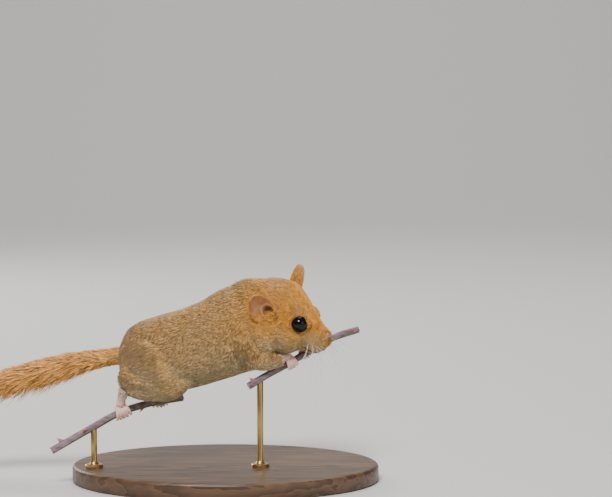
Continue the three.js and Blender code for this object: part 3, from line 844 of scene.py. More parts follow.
@dataclass(frozen=True)
class UndercoatFinish:
    """Skin with its flat underfur: the same tones, with fine noise for bump and brightness."""

    name: str = "undercoat"
    roughness: float = 0.8
    # The skin takes part of the root's darkening, which includes painted shade under the coat
    along: float = 0.42  # as of a hair's middle
    patch: float = 0.4
    bare: tuple = rgb(0.72, 0.36, 0.26)

    def build(self) -> Material:
        """Makes the material.

        Returns:
            The material.
        """
        material, board, shader = new_material(self.name, Roughness=self.roughness)
        marks = board.attribute("marks")
        fine = board.noise(2600, 2, (0.35, 1, 1))
        settings = {"Marks": marks["Color"], "Along": self.along, "Patch": self.patch}
        tones = board.add("ShaderNodeGroup", settings, node_tree=coat_tones())
        board.link(tones, Chance=board.span(fine, 0.3, 0.7, 0.0, 0.8))
        board.link(shader, Base_Color=board.mix(marks["Alpha"], self.bare, tones.outputs[0]),
                   Normal=board.bump(fine, 0.6, 0.0003))
        return material


@dataclass(frozen=True)
class SkinFinish:
    """Bare skin: mottled and creased, turning to a second colour and to a dark painted shade by the piece's
    marks.
    """

    name: str
    light: tuple
    deep: tuple
    # Painted shade for the nostrils and the ear's opening
    dark: tuple = rgb(0.05, 0.02, 0.015)
    roughness: float = 0.5
    crease: float = 0.35

    def build(self) -> Material:
        """Makes the material.

        Returns:
            The material.
        """
        material, board, shader = new_material(
            self.name, Roughness=self.roughness, Subsurface_Weight=0.12, Subsurface_Scale=0.0008)
        parts = board.parts(board.attribute("marks")["Color"])
        mottle = board.span(board.noise(700, 3), 0.35, 0.65, -0.18, 0.18)
        tone = board.mix(board.math("ADD", parts[0], mottle), self.light, self.deep)
        # Painted shade where the second mark is set
        tone = board.mix(parts[1], tone, self.dark)
        board.link(shader, Base_Color=tone, Normal=board.bump(board.noise(2400, 3), self.crease, 0.0002))
        return material


@dataclass(frozen=True)
class PlainFinish:
    """One colour, for eyes, lids, claws, whiskers, the down on the feet, rods and the floor."""

    name: str
    color: tuple
    roughness: float
    metallic: float = 0.0
    specular: float = 0.5

    def build(self) -> Material:
        """Makes the material."""
        return new_material(self.name, Base_Color=self.color, Roughness=self.roughness,
                            Metallic=self.metallic, Specular_IOR_Level=self.specular)[0]


@dataclass(frozen=True)
class BarkFinish:
    """Bramble bark: mauve above and green below, with fine lengthwise streaks, straw tips and pale pith.

    Each pair of colours goes from a streak's dark to its light, or from a prickle's foot to its tip.
    """

    name: str = "bramble bark"
    roughness: float = 0.55
    mauve: tuple = (rgb(0.1, 0.055, 0.075), rgb(0.3, 0.19, 0.24))
    green: tuple = (rgb(0.08, 0.11, 0.035), rgb(0.2, 0.23, 0.09))
    prickle: tuple = (rgb(0.5, 0.14, 0.16), rgb(0.72, 0.55, 0.3))
    pith: tuple = (rgb(0.5, 0.46, 0.3), rgb(0.72, 0.69, 0.52))

    def build(self) -> Material:
        """Makes the material.

        Returns:
            The material.
        """
        material, board, shader = new_material(self.name, Roughness=self.roughness)
        below, thorn, cut = board.parts(board.attribute("marks")["Color"])
        streak = board.noise(900, 4, (0.25, 1, 1))
        tone = board.mix(below, board.ramp(streak, 0.3, 0.7, *self.mauve),
                         board.ramp(streak, 0.3, 0.7, *self.green))
        tone = board.mix(board.span(thorn, 0.02, 0.3, 0.0, 1.0), tone,
                         board.ramp(thorn, 0.5, 1.0, *self.prickle))
        tone = board.mix(cut, tone, board.ramp(streak, 0.35, 0.65, *self.pith))
        board.link(shader, Base_Color=tone, Normal=board.bump(streak, 0.5, 0.0003))
        return material


@dataclass(frozen=True)
class WoodFinish:
    """Oiled dark wood with rings and pores drawn out along X."""

    name: str = "oiled wood"
    ring_count: float = 7.0  # dark bands in each swing of the noise
    dark: tuple = rgb(0.05, 0.024, 0.012)
    light: tuple = rgb(0.15, 0.075, 0.035)

    def build(self) -> Material:
        """Makes the material.

        Returns:
            The material.
        """
        material, board, shader = new_material(self.name, Coat_Weight=0.15, Coat_Roughness=0.25)
        rings = board.noise(90, 6, (0.12, 1, 1))
        pores = board.noise(900, 3, (0.05, 1, 1))
        grain = board.math("FRACT", board.math("MULTIPLY", rings, self.ring_count))
        grain = board.math("ADD", board.math("MULTIPLY", grain, 0.6), board.math("MULTIPLY", pores, 0.5))
        board.link(shader, Base_Color=board.ramp(grain, 0.2, 0.9, self.dark, self.light),
                   Roughness=board.span(pores, 0.3, 0.7, 0.35, 0.5),
                   Normal=board.bump(pores, 0.25, 0.0003))
        return material


class Region(Enum):
    """Charts of the unwrap: lowest u and v, then highest."""

    BODY = (0.01, 0.01, 0.6, 0.99)
    TAIL = (0.62, 0.01, 0.8, 0.99)
    HIND_RIGHT = (0.82, 0.01, 0.99, 0.24)
    HIND_LEFT = (0.82, 0.26, 0.99, 0.49)
    FORE_RIGHT = (0.82, 0.51, 0.99, 0.74)
    FORE_LEFT = (0.82, 0.76, 0.99, 0.99)

    def place(self, along: Array, turned: Array) -> Array:
        """Places on the chart for shares along a form and round it."""
        low_u, low_v, high_u, high_v = self.value
        return np.stack([low_u + (high_u - low_u) * along, low_v + (high_v - low_v) * turned], -1)


@dataclass
class Axis:
    """A form's centre line as samples with a radius, to find how far points are from its surface."""

    region: Region
    rows: Array
    samples: int = 48

    def near(self, points: Array) -> tuple[Array, Array, Array, Array]:
        """Nearest sample of each point.

        Args:
            points: points in millimetres.

        Returns:
            Distance to the form's surface, share along it, direction along it, and place on the chart.
        """
        u = np.linspace(0, 1, self.samples)
        centre, along, side, up = path_axes(self.rows, u)
        gap = (points**2).sum(1)[:, None] - 2 * points @ centre.T + (centre**2).sum(1)
        best = gap.argmin(axis=1)
        off = points - centre[best]
        radius = blend_rows(self.rows, u)[best, 3]
        slide = (off * along[best]).sum(1)
        share = np.clip(u[best] + slide / self.length(centre), 0, 1)
        turn = np.arctan2((off * up[best]).sum(1), (off * side[best]).sum(1)) / (2 * np.pi) + 0.5
        return np.linalg.norm(off, axis=1) - radius, share, along[best], self.region.place(share, turn)

    @staticmethod
    def length(centre: Array) -> float:
        """Length of a line of points."""
        return float(np.linalg.norm(np.diff(centre, axis=0), axis=1).sum())


@dataclass
class Coatwork:
    """What the coat is like at each point of the skin."""

    lie: Array  # unit direction in which hair lies
    length: Array  # in millimetres
    height: Array  # how high the tips stand over the skin
    width: Array  # of one tuft
    density: Array  # tufts on a square millimetre
    marks: Array  # pale, ginger, rust, and 1 where hair grows
    chart: Array  # place on the unwrap
    is_tail: Array  # 0 to 1


@dataclass
class Body:
    """The animal's skin in one piece, and the field of its coat."""

    voxel: float = 0.42
    smoothing: int = 10
    trunk_inset: float = 1.15
    neck_inset: float = 0.85
    head_inset: float = 0.6
    tail_inset: float = 0.3
    flesh_inset: float = 0.65
    relax_share: float = 0.5
    relax_rounds: int = 90
    groove: float = 0.7  # depth of the mouth's line
    skin: Shell = field(init=False)
    triangles: Array = field(init=False)
    normals: Array = field(init=False)

    def barrel(self, rows: Array, inset: float, back: float, front: float) -> Shell:
        """Trunk or neck: a superellipse sweep with round ends, inside the solid by the coat's depth.

        Args:
            rows: x, y, z, half width, height above and depth below.
            inset: the coat's depth.
            back: share of the length that rounds off at the back.
            front: the same at the front.

        Returns:
            The closed surface.
        """
        def reaches(row: Array, u: Array) -> Array:
            """Half width, height and depth, closed towards both ends."""
            return (row[:, 3:6] - inset) * (opening(u, back) * opening(1 - u, front))[:, None]
        return sweep(rows, 60, 60, reaches, 0.92)

    def head(self) -> Shell:
        """Head: superellipse rings across its own forward axis, closed at muzzle and occiput.

        Returns:
            The closed surface.
        """
        steps, power = 56, 0.94
        u = even(steps)[:, None]
        angle = turns(steps)
        forward, level, half, top, bottom = np.moveaxis(blend_rows(HEAD, u[:, 0]), -1, 0)[..., None]
        wide_open = opening(1 - u, 0.1) * opening(u, 0.2)
        tall = signed_power(np.sin(angle), power)
        reach = np.where(tall > 0, top - level, level - bottom) - self.head_inset
        wide = signed_power(np.cos(angle), power) * (half - self.head_inset) * wide_open
        return tube(from_head(grid_of(forward, wide, level + tall * reach * wide_open)))

    def face_forms(self) -> list[Shell]:
        """Whisker pads, cheeks, brows, the ears' roots, chin and nose bridge as ellipsoids.

        Returns:
            Their surfaces.
        """
        forms = []
        for side in Side:
            s = side.value
            forms += [
                ball([6.9, s * 2.75, -3.7], [4.5, 3.45, 4.0]),
                ball([-4.8, s * 5.0, -4.2], [7.2, 4.5, 5.6]),
                ball([0.6, s * 5.2, 2.1], [4.1, 2.3, 3.5]),
            ]
        forms += [ball([-9.9, -9.6, 1.9], [3.0, 1.7, 2.6]), ball([-8.5, 8.6, 6.0], [2.8, 1.9, 2.4])]
        forms += [ball([5.2, 0, -6.9], [3.9, 2.6, 1.95]), ball([8.0, 0, -1.3], [2.6, 2.0, 1.7])]
        return [Shell(from_head(form.points), form.faces) for form in forms]

    def legs(self) -> list[Shell]:
        """The legs, inside their solids by the coat's depth, and the flesh that joins thigh and shin.

        Returns:
            Their surfaces.
        """
        runs = [mirrored(THIGH), mirrored(SHIN), THIGH, LEFT_SHIN,
                mirrored(UPPER_ARM), mirrored(FOREARM), LEFT_UPPER_ARM, LEFT_FOREARM]
        inset = [0.9, 0.8, 0.9, 0.8, 0.9, 0.5, 0.9, 0.5]
        flesh = np.concatenate([HAUNCH, mirrored(HAUNCH)])
        shells = [ball(row[:3], row[3:] - self.flesh_inset, 24) for row in flesh]
        for rows, depth in zip(runs, inset):
            slim = rows.copy()
            slim[:, 3] -= depth * np.clip(rows[:, 3] / 5.0, 0.35, 1)
            shells.append(limb(slim, 20, 24))
        return shells

    def build(self) -> Piece:
        """Fuses all forms, relaxes them, sinks the mouth's line and makes the skin.

        Returns:
            The skin's object.
        """
        forms = [self.barrel(TRUNK, self.trunk_inset, 0.16, 0.14),
                 self.barrel(NECK, self.neck_inset, 0.3, 0.3),
                 self.head(), *self.face_forms(), *self.legs(),
                 limb(TAIL, 60, 20, -self.tail_inset)]
        skin = remeshed("skin forms", forms, self.voxel, self.smoothing)
        away = np.min([np.linalg.norm((skin.points - row[:3]) / row[3:], axis=1) for row in SOFTENED], axis=0)
        body_only = smooth_step(-37.5, -35.0, skin.points[:, 0])
        share = self.relax_share * smooth_step(1.15, 0.75, away) * body_only
        skin = relaxed(skin, share, self.relax_rounds)
        skin.points = self.carved(skin.points)
        self.skin = skin
        self.triangles = halved(skin.faces[0])
        self.normals = point_normals(skin.points, self.triangles)
        item = make_object("skin", skin, UndercoatFinish().build())
        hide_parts("torso", "neck", "head", "tail", "hind_leg_right", "hind_leg_left",
                    "fore_leg_right", "fore_leg_left")
        return item

    def carved(self, points: Array) -> Array:
        """Moves the skin near the mouth's line inwards: a groove from corner to corner of the mouth.

        Args:
            points: the skin's points.

        Returns:
            The moved points.
        """
        place = to_head(points)
        across = np.clip(place[:, 1] / 5.0, -1, 1)
        line = -MOUTH_DEPTH - MOUTH_DROP * np.abs(across)
        ahead = smooth_step(3.8, 5.6, place[:, 0])
        depth = np.exp(-(((place[:, 2] - line) / 0.4) ** 2)) * ahead * self.groove
        middle = from_head(np.stack([np.full(len(place), 4.0), place[:, 1] * 0.3, place[:, 2]], -1))
        return points + unit(middle - points) * depth[:, None]

    def coatwork(self) -> Coatwork:
        """Works out the coat at each point of the skin from the forms that it belongs to.

        Each form gives a direction; they are blended by how near its surface is, laid into the
        skin and turned aside round the eyes.

        Returns:
            The fields of the coat.
        """
        points, normals = self.skin.points, self.normals
        place = to_head(points)
        spine_head = from_head(np.array([
            [-13, 0, 0.8], [-7, 0, 0.4], [-1, 0, -0.5], [5, 0, -2], [10.5, 0, -3]]))
        spine = np.concatenate([TRUNK[:7, :4], np.column_stack([spine_head, np.full(5, 8.0)])])
        axes = [
            Axis(Region.BODY, spine, 90), Axis(Region.TAIL, TAIL),
            Axis(Region.HIND_RIGHT, np.concatenate([mirrored(THIGH), mirrored(SHIN)[2:]])),
            Axis(Region.HIND_LEFT, np.concatenate([THIGH, LEFT_SHIN[2:]])),
            Axis(Region.FORE_RIGHT, np.concatenate([mirrored(UPPER_ARM), mirrored(FOREARM)[1:]])),
            Axis(Region.FORE_LEFT, np.concatenate([LEFT_UPPER_ARM, LEFT_FOREARM[1:]])),
        ]
        found = [axis.near(points) for axis in axes]
        chart = found[0][3]
        flank = np.abs(normals[:, 1])
        head = smooth_step(-19, -9, place[:, 0]) * smooth_step(-40, -10, place[:, 2] * 3 + place[:, 0])
        nose = unit(points - from_head(NOSE_PLACE + [1.5, 0, 0.6]))
        back = np.stack([-np.ones(len(points)), np.zeros(len(points)), -0.22 - 0.5 * flank], -1)
        lie = unit(back) * (1 - head)[:, None] + (nose + [-0.1, 0, -0.12]) * head[:, None]
        length = 3.8 - 1.9 * head
        height = np.full(len(points), self.trunk_inset) * (1 - head) + self.head_inset * head
        width = 0.37 - 0.11 * head
        density = 14.5 + 12 * head
        # Tail and legs take over near their own surfaces
        is_tail = smooth_step(2.2, 0.2, found[1][0]) * smooth_step(-33.5, -37.5, points[:, 0])
        leg = np.zeros(len(points))
        for (gap, share, along, place_on_chart), axis in zip(found[1:], axes[1:]):
            if axis.region is Region.TAIL:
                own = is_tail
            else:
                own = smooth_step(1.6, -0.4, gap) * smooth_step(0.0, 0.3, share)
                leg = np.maximum(leg, own * smooth_step(0.35, 0.85, share))
            if axis.region in (Region.HIND_RIGHT, Region.HIND_LEFT):
                lower = smooth_step(0.75, 1.0, share)[:, None]
                along = np.array([-0.85, 0, -0.35]) - np.array([0, 0, 0.5]) * lower
            elif axis.region is not Region.TAIL:
                fore = smooth_step(0.4, 0.65, share)[:, None]
                along = along * fore + np.array([-0.45, 0, -0.9]) * (1 - fore)
                elbow = np.exp(-(((share - 0.52) / 0.12) ** 2)) * own
                length *= 1 - 0.45 * elbow
                height *= 1 - 0.4 * elbow
            lie = lie * (1 - own)[:, None] + along * own[:, None]
            chart = np.where((own > 0.5)[:, None], place_on_chart, chart)
        length *= 1 - 0.5 * leg
        height *= 1 - 0.45 * leg
        width *= 1 - 0.2 * leg
        density += 5 * leg
        # Knees: short and flat on both sides
        either_side = points * [1, 0, 1] + [0, 1, 0] * np.abs(points)
        knee = smooth_step(7.5, 2.5, np.linalg.norm(either_side - KNEE, axis=1))
        length *= 1 - 0.35 * knee
        height *= 1 - 0.5 * knee
        # Face: shorter and finer towards the muzzle
        muzzle = smooth_step(2.0, 8.5, place[:, 0]) * head
        length *= 1 - 0.52 * muzzle
        height *= 1 - 0.45 * muzzle
        width *= 1 - 0.3 * muzzle
        density += 26 * muzzle
        # Eyes: hair turns aside, gets shorter and stops at the ball
        for side in Side:
            towards = eye_centre(side) - points
            away = np.linalg.norm(towards, axis=1)
            towards = unit(towards)
            pull = np.clip((lie * towards).sum(1), 0, None) * smooth_step(7.0, 3.4, away)
            lie = lie - 1.25 * pull[:, None] * towards
            length *= 1 - 0.55 * smooth_step(6.0, 3.2, away)
            height *= 1 - 0.4 * smooth_step(6.0, 3.2, away)
            density = density * (away > EYE_RADIUS + 0.1)
        # Nose and lips are bare
        bare_nose = np.linalg.norm((place - NOSE_PLACE) / [1.4, 1.55, 1.2], axis=1) < 1.0
        across = np.clip(place[:, 1] / 5.0, -1, 1)
        off_line = place[:, 2] + MOUTH_DEPTH + MOUTH_DROP * np.abs(across)
        lips = np.exp(-((off_line / 0.55) ** 2)) * smooth_step(3.8, 5.0, place[:, 0])
        density = density * (~bare_nose) * (1 - smooth_step(0.3, 0.7, lips))
        lie = lie + 0.16 * np.stack([wave_noise(points, 9, seed) for seed in (3, 4, 5)], -1)
        lie = unit(laid(lie, normals))
        marks = self.markings(points, place, normals, head, muzzle, is_tail, bare_nose, lips)
        return Coatwork(lie, length, height, width, density, marks, chart, is_tail)

    @staticmethod
    def markings(points: Array, place: Array, normals: Array, head: Array, muzzle: Array, is_tail: Array,
                 bare_nose: Array, lips: Array) -> Array:
        """Shares of pale, ginger and rust, and 1 where hair grows.

        Pale grows with how far a point faces down, and on the throat, the lip and the whisker pads;
        ginger covers the crown and face and fades over the shoulders; rust is the tail's.

        Args:
            points: the skin's points.
            place: the same points in the head's frame.
            normals: outward directions.
            head: share of the head at each point.
            muzzle: share of the muzzle.
            is_tail: share of the tail.
            bare_nose: where the nose pad is.
            lips: share of the lips.

        Returns:
            Four shares for each point.
        """
        low = smooth_step(0.15, -0.75, normals[:, 2] + 0.05 * wave_noise(points, 7, 11))
        throat = smooth_step(-4.0, -8.5, place[:, 2]) * head
        lip = smooth_step(5.0, 7.5, place[:, 0]) * smooth_step(-4.6, -6.2, place[:, 2]) * head
        pale = np.clip(np.maximum(low, np.maximum(throat, lip)), 0, 1) * (1 - is_tail)
        crown = smooth_step(-30, -8, place[:, 0]) * smooth_step(-9, 1.5, place[:, 2])
        ginger = np.clip(crown * (0.85 + 0.2 * wave_noise(points, 12, 12)), 0, 1) * (1 - 0.8 * throat)
        ginger = np.maximum(ginger, 0.16 * smooth_step(-0.1, 0.8, normals[:, 2])) * (1 - 0.75 * lip)
        pad = np.clip(1.5 - np.linalg.norm((np.abs(place) * [1, 1, 0] + place * [0, 0, 1] - [7.4, 4.6, -4.2])
                                           / [4.2, 3.0, 3.6], axis=1), 0, 1)
        pale = np.maximum(pale, 0.6 * pad)
        ginger = ginger * (1 - 0.7 * pad)
        hairy = 1 - np.clip(np.maximum(np.maximum(bare_nose, lips), 0.5 * pad), 0, 1)
        return np.stack([pale * (1 - 0.3 * muzzle), ginger * (1 - is_tail), is_tail, hairy], -1)


def tufts(root: Array, normal: Array, lie: Array, size: Array, height: Array, width: Array, drawn: Array,
          stations: Array, marks: Array, chance: Array, patch: Array, chart: Array,
          ) -> tuple[Shell, Array, Array, Array]:
    """Closed tapered tufts in one surface.

    At each station a tuft has a three-cornered ring, flat against the skin with a low ridge, and
    the last station is its point. A station's centre is root + lie * size * s + normal * height * h
    + drawn * d, and its ring is width * w wide.

    Args:
        root: where each tuft grows.
        normal: outward direction there.
        lie: direction along the skin.
        size: lengths.
        height: how high the tuft stands.
        width: widths.
        drawn: how far the tip is drawn sideways.
        stations: rows of s, h, w and d.
        marks: colour marks at each root.
        chance: a random share for each tuft.
        patch: a share for each clump.
        chart: place of each root on the unwrap.

    Returns:
        The surface, and for each of its points the marks, the strand values and the chart place.
    """
    count = len(root)
    across = np.cross(normal, lie)
    rings = []
    for s, h, w, d in stations:
        middle = root + lie * (size * s)[:, None] + normal * (height * h)[:, None] + drawn * d
        if w <= 0:
            rings.append(middle[:, None])
            continue
        half = (width * w / 2)[:, None]
        ridge = normal * half * 0.75
        rings.append(np.stack([middle - across * half, middle + across * half, middle + ridge], 1))
    points = np.concatenate(rings, axis=1)
    per = points.shape[1]
    levels = len(stations) - 1
    quads = np.array([[3 * k + i, 3 * k + (i + 1) % 3, 3 * k + 3 + (i + 1) % 3, 3 * k + 3 + i]
                      for k in range(levels - 1) for i in range(3)])
    point = 3 * levels
    tris = np.array([[point - 3 + i, point - 3 + (i + 1) % 3, point] for i in range(3)] + [[0, 2, 1]])
    start = (np.arange(count) * per)[:, None, None]
    faces = [(quads + start).reshape(-1, 4), (tris + start).reshape(-1, 3)]
    along = np.concatenate([np.full(ring.shape[1], row[0]) for ring, row in zip(rings, stations)])
    offset = np.concatenate([[-1.0, 1.0, 0.0] if row[2] > 0 else [0.0] for row in stations])
    strand = grid_of(along, chance[:, None], patch[:, None])
    own_chart = 0.003  # a tuft's own piece of the unwrap
    place = chart[:, None] + own_chart * np.stack([offset / 2, along], -1)
    repeated = np.repeat(marks, per, axis=0)
    return Shell(points.reshape(-1, 3), faces), repeated, strand.reshape(-1, 3), place.reshape(-1, 2)


def set_chart(item: Piece, chart: Array) -> None:
    """Writes the unwrap map, keeping faces whole where the chart wraps round.

    Args:
        item: the piece.
        chart: one place on the unwrap for each point.
    """
    widest = 0.1  # a face that is wider on the chart has been torn by the wrap
    corners = np.zeros(len(item.data.loops), np.int64)
    item.data.loops.foreach_get("vertex_index", corners)
    place = chart[corners]
    starts = np.zeros(len(item.data.polygons), np.int64)
    item.data.polygons.foreach_get("loop_start", starts)
    low = np.minimum.reduceat(place, starts)
    high = np.maximum.reduceat(place, starts)
    lengths = np.diff(np.append(starts, len(corners)))
    torn = np.repeat((high - low > widest).any(axis=1), lengths)
    first = np.repeat(place[starts], lengths, axis=0)
    place = np.where(torn[:, None], first, place)
    layer = item.data.uv_layers.new(name="OFBake")
    layer.data.foreach_set("uv", np.clip(place, 0, 1).astype(np.float32).ravel())


def hair_piece(name: str, grown: tuple[Shell, Array, Array, Array], material: Material) -> Piece:
    """Makes a piece of tufts, with its marks, strand values and unwrap map.

    Args:
        name: plain name of the piece.
        grown: the surface, marks, strand values and chart places that `tufts` gives.
        material: the hair's finish.

    Returns:
        The piece.
    """
    shell, marks, strand, chart = grown
    piece = make_object(name, shell, material)
    set_marks(piece, "marks", marks)
    set_marks(piece, "strand", strand)
    set_chart(piece, chart)
    return piece


@dataclass
class Coat:
    """Tufts of hair over the skin: closed, three-sided and tapered, rooted under it and lying along it."""

    body: Body
    work: Coatwork
    seed: int = 71
    clump: float = 1.35
    pull: float = 0.24
    disorder: float = 0.13
    largest: int = 19000  # tufts in one piece
    face_from: float = 15.0  # a place along X, in millimetres

    def roots(self, rng: np.random.Generator) -> tuple[Array, Array]:
        """Seeded random places on the skin's triangles, in proportion to area and density.

        Args:
            rng: source of the places.

        Returns:
            The triangle of each tuft and the three shares of its corners.
        """
        corners = self.body.triangles
        a, b, c = (self.body.skin.points[corners[:, k]] for k in range(3))
        area = np.linalg.norm(np.cross(b - a, c - a), axis=1) / 2
        bare = (self.work.density[corners] <= 0.01).any(axis=1)
        weight = area * self.work.density[corners].mean(axis=1) * ~bare
        total = np.cumsum(weight)
        pick = np.searchsorted(total, rng.random(int(total[-1])) * total[-1])
        first, second = rng.random((2, len(pick)))
        fold = first + second > 1
        first, second = np.where(fold, 1 - first, first), np.where(fold, 1 - second, second)
        return pick, np.stack([1 - first - second, first, second], -1)

    def build(self) -> list[Piece]:
        """Scatters the tufts, bends them towards their clumps and makes the pieces.

        Returns:
            The coat's objects.
        """
        rng = np.random.default_rng(self.seed)
        pick, shares = self.roots(rng)
        corners = self.body.triangles[pick]
        work = self.work

        def at(values: Array) -> Array:
            """A field's value at each root."""
            return np.einsum("nk,nk...->n...", shares, values[corners])

        root = at(self.body.skin.points)
        normal = unit(at(self.body.normals))
        lie = unit(laid(at(work.lie) + self.disorder * rng.normal(size=root.shape), normal))
        tail = at(work.is_tail)
        size = at(work.length) * rng.uniform(0.72, 1.22, len(root))
        height = at(work.height) * rng.uniform(0.55, 1.12, len(root))
        width = at(work.width) * rng.uniform(0.75, 1.25, len(root))
        # Clumps: tips are drawn to the middle of the jittered cell that they fall in
        tip = root + lie * size[:, None]
        cell = np.floor(tip / self.clump)
        jitter = cell_shares(cell, [[12.9, 78.2, 37.7], [39.3, 11.1, 53.5], [73.1, 52.2, 9.1]])
        towards = laid((cell + 0.2 + 0.6 * jitter) * self.clump - tip, normal)
        drawn = self.pull * np.clip(size / 2.5, 0.2, 1)[:, None] * towards
        keep = tail < 0.35
        order = np.argsort(root[:, 0] + 0.001 * np.arange(len(root)) / len(root), kind="stable")
        order = order[keep[order]]
        made = []
        material = HairFinish().build()
        groups = np.array_split(order, math.ceil(len(order) / self.largest))
        for number, group in enumerate(groups):
            grown = tufts(
                root[group], normal[group], lie[group], size[group], height[group], width[group],
                drawn[group], BODY_TUFT, at(work.marks)[group], rng.random(len(group)),
                jitter[group, 0], work.chart[corners[:, 0]][group])
            made.append(hair_piece(f"coat_{number + 1}", grown, material))
        return made


@dataclass
class TailHair:
    """The tail's long hair: tufts that point along it and spread, longest below and towards the tip."""

    count: int = 11500
    seed: int = 93

    def build(self) -> Piece:
        """Grows the hair round the flesh of the tail.

        Length is 3 mm at the root, and 4.2 mm above to 6.8 mm below further on; lift goes from 0.1 of
        it at the root to 0.62 below. Both vary from tuft to tuft, and the last fifth is shorter.

        Returns:
            The piece.
        """
        rng = np.random.default_rng(self.seed)
        u = 0.03 + 0.97 * rng.random(self.count) ** 0.95
        angle = rng.uniform(0, 2 * np.pi, self.count)
        centre, along, side, up = path_axes(TAIL, u)
        radius = (blend_rows(TAIL, u)[:, 3] - 0.3) * opening(1 - u, 0.06)
        out = side * np.cos(angle)[:, None] + up * np.sin(angle)[:, None]
        below = 0.5 - 0.5 * np.sin(angle)
        grown = smooth_step(0.08, 0.45, u)
        size = (3.0 + 1.2 * grown + 2.6 * below * grown) * rng.uniform(0.7, 1.15, self.count)
        size = size * (1 - 0.3 * smooth_step(0.8, 1.0, u))
        lift = (0.1 + 0.1 * grown + (0.12 + 0.3 * grown) * below) * rng.uniform(0.6, 1.3, self.count)
        lie = unit(along + 0.1 * rng.normal(size=along.shape))
        cell = np.floor(np.stack([u * 26, angle * 2.2], -1))
        jitter = cell_shares(cell, [[12.9, 78.2], [39.3, 11.1]])
        drawn = along * (jitter[:, :1] - 0.5) * 1.2 + np.cross(along, out) * (jitter[:, 1:] - 0.5) * 1.6
        rust = (1 - 0.55 * below * grown * rng.uniform(0.6, 1.0, self.count)) * smooth_step(-0.02, 0.2, u)
        marks = np.stack([0.15 * (1 - rust), 0.7 * (1 - rust), rust, np.ones(self.count)], -1)
        grown = tufts(
            centre + out * radius[:, None], out, lie, size, size * lift,
            rng.uniform(0.3, 0.5, self.count), drawn, TAIL_TUFT, marks, rng.random(self.count),
            jitter[:, 0], Region.TAIL.place(u, angle / (2 * np.pi)))
        return hair_piece("tail_hair", grown, HairFinish("tail hair").build())


@dataclass
class Eye:
    """A glossy eyeball and the dark rim of lids round it."""

    side: Side
    lid_radius: float = 2.6
    lid_thickness: float = 0.24

    def build(self, gloss: Material, rim: Material) -> list[Piece]:
        """Makes the ball, and the lids as a tube round it that is a little pointed at both corners.

        Args:
            gloss: the ball's finish.
            rim: the lids' finish.

        Returns:
            The two pieces.
        """
        name = self.side.name.lower()
        middle = eye_centre(self.side)
        eye = make_object(f"eyeball_{name}", ball(middle, [EYE_RADIUS] * 3, 28), gloss)
        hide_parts(f"eye_{name}")
        axis = unit(HEAD_MATRIX @ (EYE_AXIS * [1, self.side.value, 1]))
        ahead = square_to(HEAD_MATRIX[:, 0], axis)
        up = np.cross(axis, ahead) * self.side.value
        steps, sides = 56, 10
        turn, around = turns(steps), turns(sides)
        corner = 1 + 0.16 * np.maximum(np.cos(turn + 0.6), 0) ** 8 + 0.05 * np.maximum(-np.cos(turn), 0) ** 6
        way = ahead * np.cos(turn)[:, None] + up * np.sin(turn)[:, None]
        centre = middle + way * (self.lid_radius * corner)[:, None] + axis * (2.42 - 1.2 * corner)[:, None]
        grid = (centre[:, None] + way[:, None] * (np.cos(around) * self.lid_thickness)[:, None]
                + axis * (np.sin(around) * self.lid_thickness)[:, None])
        index = np.arange(steps * sides).reshape(steps, sides)
        after = np.roll(index, -1, 1)
        quads = np.stack([index, after, np.roll(after, -1, 0), np.roll(index, -1, 0)], -1).reshape(-1, 4)
        ring = Shell(grid.reshape(-1, 3), [quads]).facing_out()
        return [eye, make_object(f"lids_{name}", ring, rim)]


